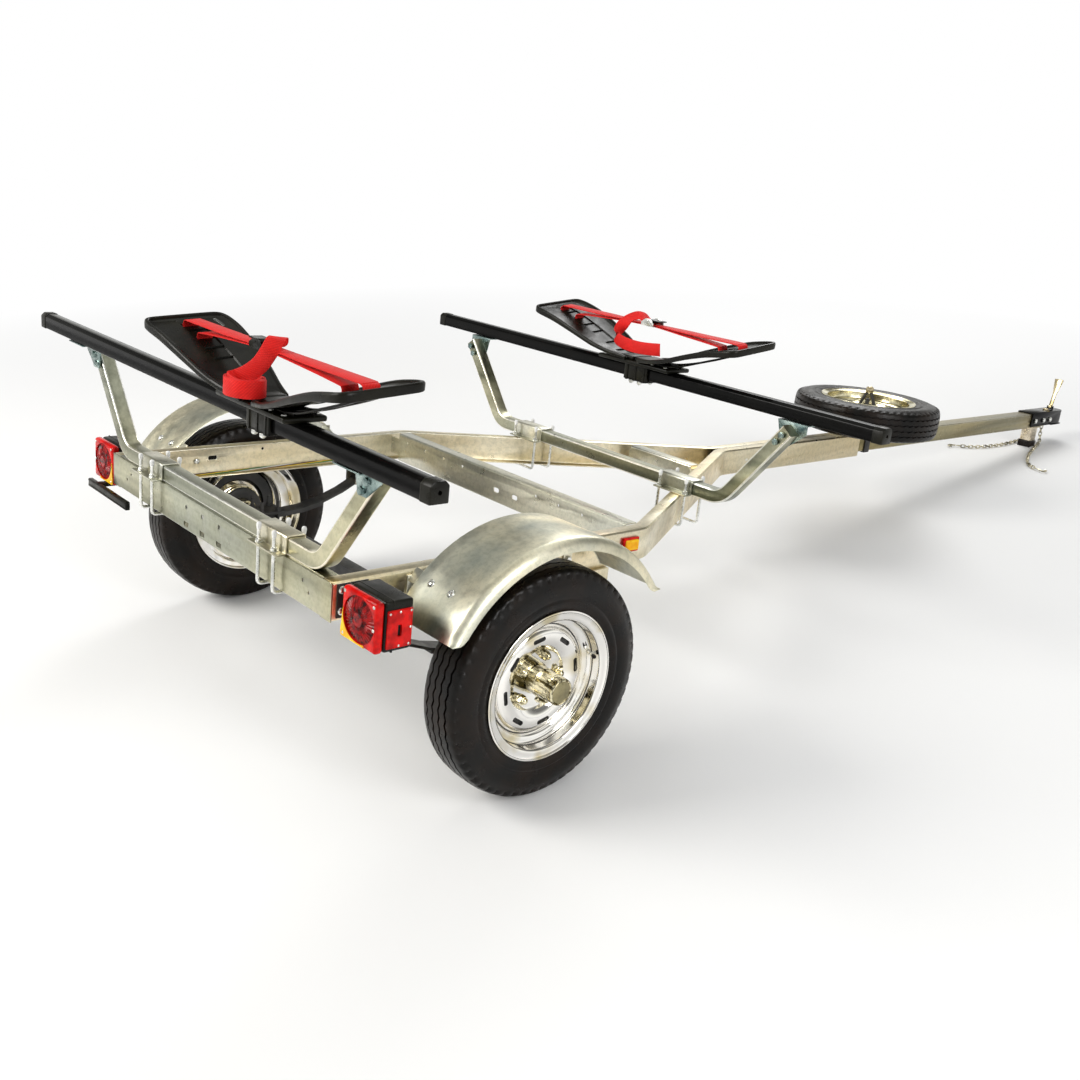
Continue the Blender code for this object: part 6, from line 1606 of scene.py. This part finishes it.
# %% Fit both fenders, and the bolts through the rails and the tongue
fender_steel = galvanised_steel("rolled fender sheet", (1.6, 0.9, 0.9), (0.44, 0.47, 0.43),
                                (0.93, 0.89, 0.72), gloss=(0.34, 0.46))
for side, outward in SIDES.items():
    solid, rail = "fender_" + side, "rail_" + side
    steel, bolts = fender_fittings()
    sheet = on_side(fender_sheet(), outward)
    stand_in(solid + "_rolled", sheet, fender_steel, "chassis", solid, frame_axes, 50)
    beside(solid + "_arms", on_side(steel, outward), galvanised, "chassis", solid)
    beside(solid + "_bolts", on_side(bolts, outward), bright_zinc, "chassis", solid)
    beside(rail + "_bolts", on_side(rail_bolts(), outward), bright_zinc, "chassis", rail)
tongue_bolt = placed(slotted_head(0.0085, 0.0045), moved(0.0316, 1.4786, 0.2014))
tongue_bolts = joined([tongue_bolt, placed(tongue_bolt, MIRROR_X)])
beside("tongue_bolts", tongue_bolts, bright_zinc, "chassis", "tongue")
print("a fender covers", round(math.degrees(FENDER_TO - FENDER_FROM)), "degrees of its wheel")

# %% [markdown]
# ## Lamps and markers
# A tail lamp is a black moulded box with a red face. The face is a rounded
# square frame round a large ribbed lens, with a slim amber crescent and small
# screws. A smaller red lens sits on the outer side. The left lamp carries the
# number plate's bar.

# %% The black housing and its ear
def lamp_housing(with_bar):
    pieces = [box_mesh((0.5550, -0.4077, 0.1410), (0.6750, -0.3417, 0.2470), 0.0075, 4),
              box_mesh((0.5542, -0.3905, 0.1402), (0.6758, -0.3865, 0.2478), 0.0016, 2),
              box_mesh((0.5800, -0.3425, 0.1650), (0.6500, -0.3365, 0.2230), 0.0025, 2)]
    if with_bar:
        pieces += [box_mesh((0.4200, -0.4500, 0.1150), (0.6650, -0.4380, 0.1370), 0.0022, 3),
                   box_mesh((0.4240, -0.4516, 0.1315), (0.6610, -0.4490, 0.1350), 0.0008, 2),
                   box_mesh((0.4240, -0.4516, 0.1170), (0.6610, -0.4490, 0.1205), 0.0008, 2),
                   box_mesh((0.5950, -0.4500, 0.1290), (0.6250, -0.3777, 0.1370), 0.0015, 2),
                   box_mesh((0.5950, -0.3977, 0.1290), (0.6250, -0.3777, 0.1500), 0.0015, 2)]
    return joined(pieces)


def lamp_ear():
    return joined([box_mesh((RAIL_SIDE, -0.4237, 0.1650), (0.5323, -0.3517, 0.2370), 0.0008, 2),
                   box_mesh((RAIL_SIDE, -0.3977, 0.1650), (0.5600, -0.3947, 0.2370), 0.0008, 2)])


def ear_bolts():
    turn = Matrix.Rotation(math.radians(25.0), 4, "X")
    head = slotted_head(0.0088, 0.0050)
    return joined([placed(head, moved(0.5322, -0.4124, z) @ turn) for z in (0.1790, 0.2240)])


# %% The red face: frame, ribbed lens, side lens
LENS_AT = Vector((0.6160, -0.4280, 0.1940))
LENS_RADIUS = 0.0470
LENS_WIDEN = 1.12
WIDER = Matrix.Scale(LENS_WIDEN, 4, (1.0, 0.0, 0.0))
OVAL = Matrix.Translation(LENS_AT) @ WIDER @ Matrix.Translation(-LENS_AT)


def face_frame():
    frame = box_mesh((0.5550, -0.4280, 0.1410), (0.6750, -0.4080, 0.2470), 0.0078, 4)
    recess = turned([(-0.0040, 0.0480), (0.0080, 0.0465)], 64, closed=False)
    at = Matrix.Translation(LENS_AT) @ Matrix.Rotation(math.radians(90.0), 4, "Z")
    return cut_with(frame, [placed(recess, OVAL @ at)])


def ribbed_lens():
    around = 144
    angles = [2 * math.pi * k / around for k in range(around)]
    radii = [LENS_RADIUS, 0.0455, 0.0400, 0.0350, 0.0300, 0.0250, 0.0200, 0.0150, 0.0138, 0.0100, 0.0050]
    edge = LENS_RADIUS
    rows = [[LENS_AT + Vector((edge * math.cos(a), 0.0075, edge * math.sin(a))) for a in angles]]
    for i, r in enumerate(radii):
        dome = 0.0060 * (1.0 - (r / LENS_RADIUS) ** 2)
        step = 0.0010 if i in (7, 4) else 0.0
        row = []
        for k, angle in enumerate(angles):
            rib = 0.0006 * (1 if k % 4 < 2 else -1) if 0 < i < 8 else 0.0
            deep = 0.0030 - dome - step - rib
            row.append(LENS_AT + Vector((r * math.cos(angle), deep, r * math.sin(angle))))
        rows.append(row)
    return placed(lofted(rows), OVAL)


def crescent():
    rows = []
    for i in range(33):
        share = i / 32
        angle = math.radians(172.0 + 122.0 * share)
        across, rise = math.cos(angle), math.sin(angle)
        edge = min(0.0600 / max(0.01, abs(across)), 0.0515 / max(0.01, abs(rise)))
        inner = 0.0486 * math.hypot(LENS_WIDEN * across, rise)
        outer = inner + 0.0006 + (edge - inner - 0.0012) * min(1.0, 3.2 * share)
        section = [(inner, 0.0010), (inner, -0.0010), (outer - 0.0004, -0.0010), (outer, -0.0003),
                   (outer, 0.0010)]
        rows.append([LENS_AT + Vector((r * across, d, r * rise)) for r, d in section])
    return lofted(rows)


def side_lens():
    plate = box_mesh((0.6740, -0.4040, 0.1500), (0.6796, -0.3460, 0.2290), 0.0024, 3)
    recess = box_mesh((0.6700, -0.3800, 0.1740), (0.6850, -0.3710, 0.1980), 0.0015, 2)
    return cut_with(plate, [recess])


rear_screws = [(0.5645, 0.2375), (0.6650, 0.2365), (0.6665, 0.1900), (0.5650, 0.1500)]
side_screws = [
    (-0.3990, 0.2230), (-0.3760, 0.2245), (-0.3510, 0.2240), (-0.3510, 0.1900), (-0.3530, 0.1555),
    (-0.3760, 0.1550),
]


def face_screws():
    big, small = slotted_head(0.0036, 0.0022), slotted_head(0.0026, 0.0018)
    return joined([placed(big, moved(x, -0.4279, z) @ REARWARD) for x, z in rear_screws]
                  + [placed(small, moved(0.6794, y, z)) for y, z in side_screws])


# %% Fit the lamps
deep_red = lens_plastic("deep red lens", (0.025, 0.0005, 0.0005), (0.34, 0.002, 0.002), 75.0)
for side, outward in SIDES.items():
    lamp, lens = "tail_lamp_" + side, "tail_lens_" + side
    stand_in(lamp + "_moulded", on_side(lamp_housing(side == "left"), outward), plastic, "chassis", lamp)
    beside(lamp + "_ear", on_side(lamp_ear(), outward), spring_black, "chassis", lamp)
    beside(lamp + "_bolts", on_side(ear_bolts(), outward), bright_zinc, "chassis", lamp)
    stand_in(lens + "_frame", on_side(face_frame(), outward), red_lens, "chassis", lens)
    beside(lens + "_ribbed", on_side(ribbed_lens(), outward), deep_red, "chassis", lens, frame_axes, 20)
    beside(lens + "_crescent", on_side(crescent(), outward), amber_lens, "chassis", lens)
    beside(lens + "_side", on_side(side_lens(), outward), red_lens, "chassis", lens)
    beside(lens + "_screws", on_side(face_screws(), outward), bright_zinc, "chassis", lens)
    print(lamp, "has", len(rear_screws) + len(side_screws), "screws")

# %% Side markers: an amber lens in a red frame
def marker_frame():
    frame = box_mesh((RAIL_SIDE, 0.3790, 0.1880), (0.5370, 0.4310, 0.2240), 0.0018, 3)
    return cut_with(frame, [box_mesh((0.5335, 0.3835, 0.1925), (0.5400, 0.4265, 0.2195))])


def marker_lens():
    pieces = [box_mesh((0.5330, 0.3838, 0.1928), (0.5415, 0.4262, 0.2192), 0.0030, 3)]
    for i in range(9):
        y = 0.3870 + 0.0045 * i
        pieces.append(box_mesh((0.5405, y, 0.1950), (0.5424, y + 0.0022, 0.2170), 0.0006, 1))
    return joined(pieces)


for side, outward in SIDES.items():
    solid = "side_marker_" + side
    stand_in(solid + "_frame", on_side(marker_frame(), outward), red_lens, "chassis", solid)
    beside(solid + "_lens", on_side(marker_lens(), outward), amber_lens, "chassis", solid)
    print(solid, "fitted")

# %% [markdown]
# ## Springs and wires
# Each leaf spring bends between the frame and the axle, and it is cut in two at
# the axle. The lamp wires run along the left rail as four thin coloured strands.

# %% The leaf springs in two halves
for side, outward in SIDES.items():
    solid = "leaf_spring_" + side
    for half, way in (("rear", -1), ("front", 1)):
        room_for_half = box_mesh((-2.0, min(0.0, way), -1.0), (2.0, max(0.0, way), 1.0))
        room_for_half.transform(frame_axes)
        mesh = cut_with(eased_copy(solid, 0.0007), [room_for_half], "INTERSECT")
        mesh.materials.clear()
        mesh.materials.append(spring_black)
        piece = put_in_scene(solid + "_" + half, mesh)
        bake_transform(piece)
        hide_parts(solid)

# %% Coloured strands of wire along the left rail
strand_colours = {"green": (0.02, 0.16, 0.04), "yellow": (0.62, 0.42, 0.02), "brown": (0.10, 0.04, 0.02),
                  "white": (0.62, 0.62, 0.58)}
WIRE_LINE = [(-0.513, y, 0.1655 + 0.0016 * math.sin(9.0 * y)) for y in
             (-0.400, -0.330, -0.260, -0.190, -0.120, -0.050, 0.020, 0.090, 0.160, 0.230, 0.300, 0.360)]
TWISTS = 2.6
APART = 0.0022
core_route = smooth_route(WIRE_LINE, 10)
for i, (colour, paint) in enumerate(strand_colours.items()):
    pale = tuple(min(1.0, c * 1.4) for c in paint)
    sleeve = black_coat(colour + " wire sleeve", paint, pale, 0.35, 0.5, 900.0, 0.0001)
    route = []
    for k, p in enumerate(core_route):
        angle = 2 * math.pi * (i / 4 + TWISTS * k / len(core_route))
        route.append(p + Vector((APART * math.cos(angle), 0.0, APART * math.sin(angle))))
    show = stand_in if i == 0 else beside
    show("wire_" + colour, wire(route, 0.0013, 8), sleeve, "chassis", "wiring")
    print(colour, "wire is", round(length_of(route), 3), "m long")

# %% [markdown]
# ## Floor, light and background
# The photograph is a cut-out on white. A pale floor takes the trailer's shadow
# and fades to plain white far out, where it meets a white room. Three large
# soft lamps light the trailer. Metal needs something dark to mirror as well,
# so part of the room above it is grey.

# %% The floor
FAR = 30
floor_mesh = mesh_of([(-FAR, -FAR, 0), (FAR, -FAR, 0), (FAR, FAR, 0), (-FAR, FAR, 0)], [[0, 1, 2, 3]])
floor = put_in_scene("floor", floor_mesh)
floor_paint, shader = new_finish("pale floor", (0.90, 0.90, 0.89), 0.0, 0.75)
floor_mesh.materials.append(floor_paint)
from_middle = node(floor_paint, "ShaderNodeVectorMath", {"Vector": place_of(floor_paint)},
                   operation="LENGTH")
fade = from_to(floor_paint, from_middle.outputs["Value"], 0.0, 1.0, 2.6, 5.5)
seen = node(floor_paint, "ShaderNodeLightPath").outputs["Is Camera Ray"]
share = node(floor_paint, "ShaderNodeMath", {0: fade, 1: seen}, operation="MULTIPLY")
white = node(floor_paint, "ShaderNodeEmission", Strength=1.0)
far_or_near = node(floor_paint, "ShaderNodeMixShader", {0: share.outputs[0], 1: shader.outputs[0],
                                                        2: white.outputs[0]})
output = floor_paint.node_tree.nodes["Material Output"]
join(floor_paint, far_or_near.outputs[0], output.inputs["Surface"])

# %% The room
room = bpy.data.worlds.new("white room")
bpy.context.scene.world = room
room.use_nodes = True
room.node_tree.nodes.clear()
toward = node(room, "ShaderNodeSeparateXYZ", {0: node(room, "ShaderNodeTexCoord").outputs["Generated"]})
ceiling = node(room, "ShaderNodeValToRGB", {0: toward.outputs["Z"]})
stops = ceiling.color_ramp.elements
stops[0].position, stops[0].color = 0.0, (1.0, 1.0, 1.0, 1.0)
stops[1].position, stops[1].color = 1.0, (0.42, 0.42, 0.38, 1.0)
for height, grey in ((0.16, 0.98), (0.28, 0.36), (0.42, 0.16), (0.60, 0.18), (0.74, 0.82), (0.88, 0.90)):
    stop = stops.new(height)
    stop.color = (grey, grey, grey * 0.95, 1.0)
rays = node(room, "ShaderNodeLightPath")
plain = node(room, "ShaderNodeBackground", Color=(1.0, 1.0, 1.0, 1.0), Strength=1.0)
mirrored = node(room, "ShaderNodeBackground", {"Color": ceiling.outputs["Color"]}, Strength=1.0)
glow = node(room, "ShaderNodeBackground", Color=(0.97, 0.98, 1.0, 1.0), Strength=0.42)
sees = glow
for ray, seen in (("Is Glossy Ray", mirrored), ("Is Transmission Ray", plain), ("Is Camera Ray", plain)):
    sees = node(room, "ShaderNodeMixShader", {0: rays.outputs[ray], 1: sees.outputs[0], 2: seen.outputs[0]})
node(room, "ShaderNodeOutputWorld", {0: sees.outputs[0]})

# %% Three soft lamps
def soft_lamp(name, place, aim, size, power, colour=(1.0, 1.0, 1.0)):
    light = bpy.data.lights.new(name, "AREA")
    light.shape = "RECTANGLE"
    light.size, light.size_y = size
    light.energy = power
    light.color = colour
    lamp = put_in_scene(name, light)
    lamp.location = place
    lamp.rotation_euler = (Vector(aim) - Vector(place)).to_track_quat("-Z", "Y").to_euler()


soft_lamp("key lamp", (-2.5, -6.0, 4.2), (0.0, -0.8, 0.4), (3.0, 3.0), 330.0, (1.0, 0.98, 0.94))
soft_lamp("fill lamp", (5.5, -1.5, 3.2), (0.2, -0.8, 0.4), (2.5, 2.5), 150.0)
soft_lamp("back lamp", (-3.0, 4.5, 4.5), (0.0, 0.0, 0.4), (3.0, 3.0), 160.0)
print(len(bpy.data.lights), "lamps lit")

# %% Plain view of the colours
bpy.context.scene.view_settings.view_transform = "Standard"
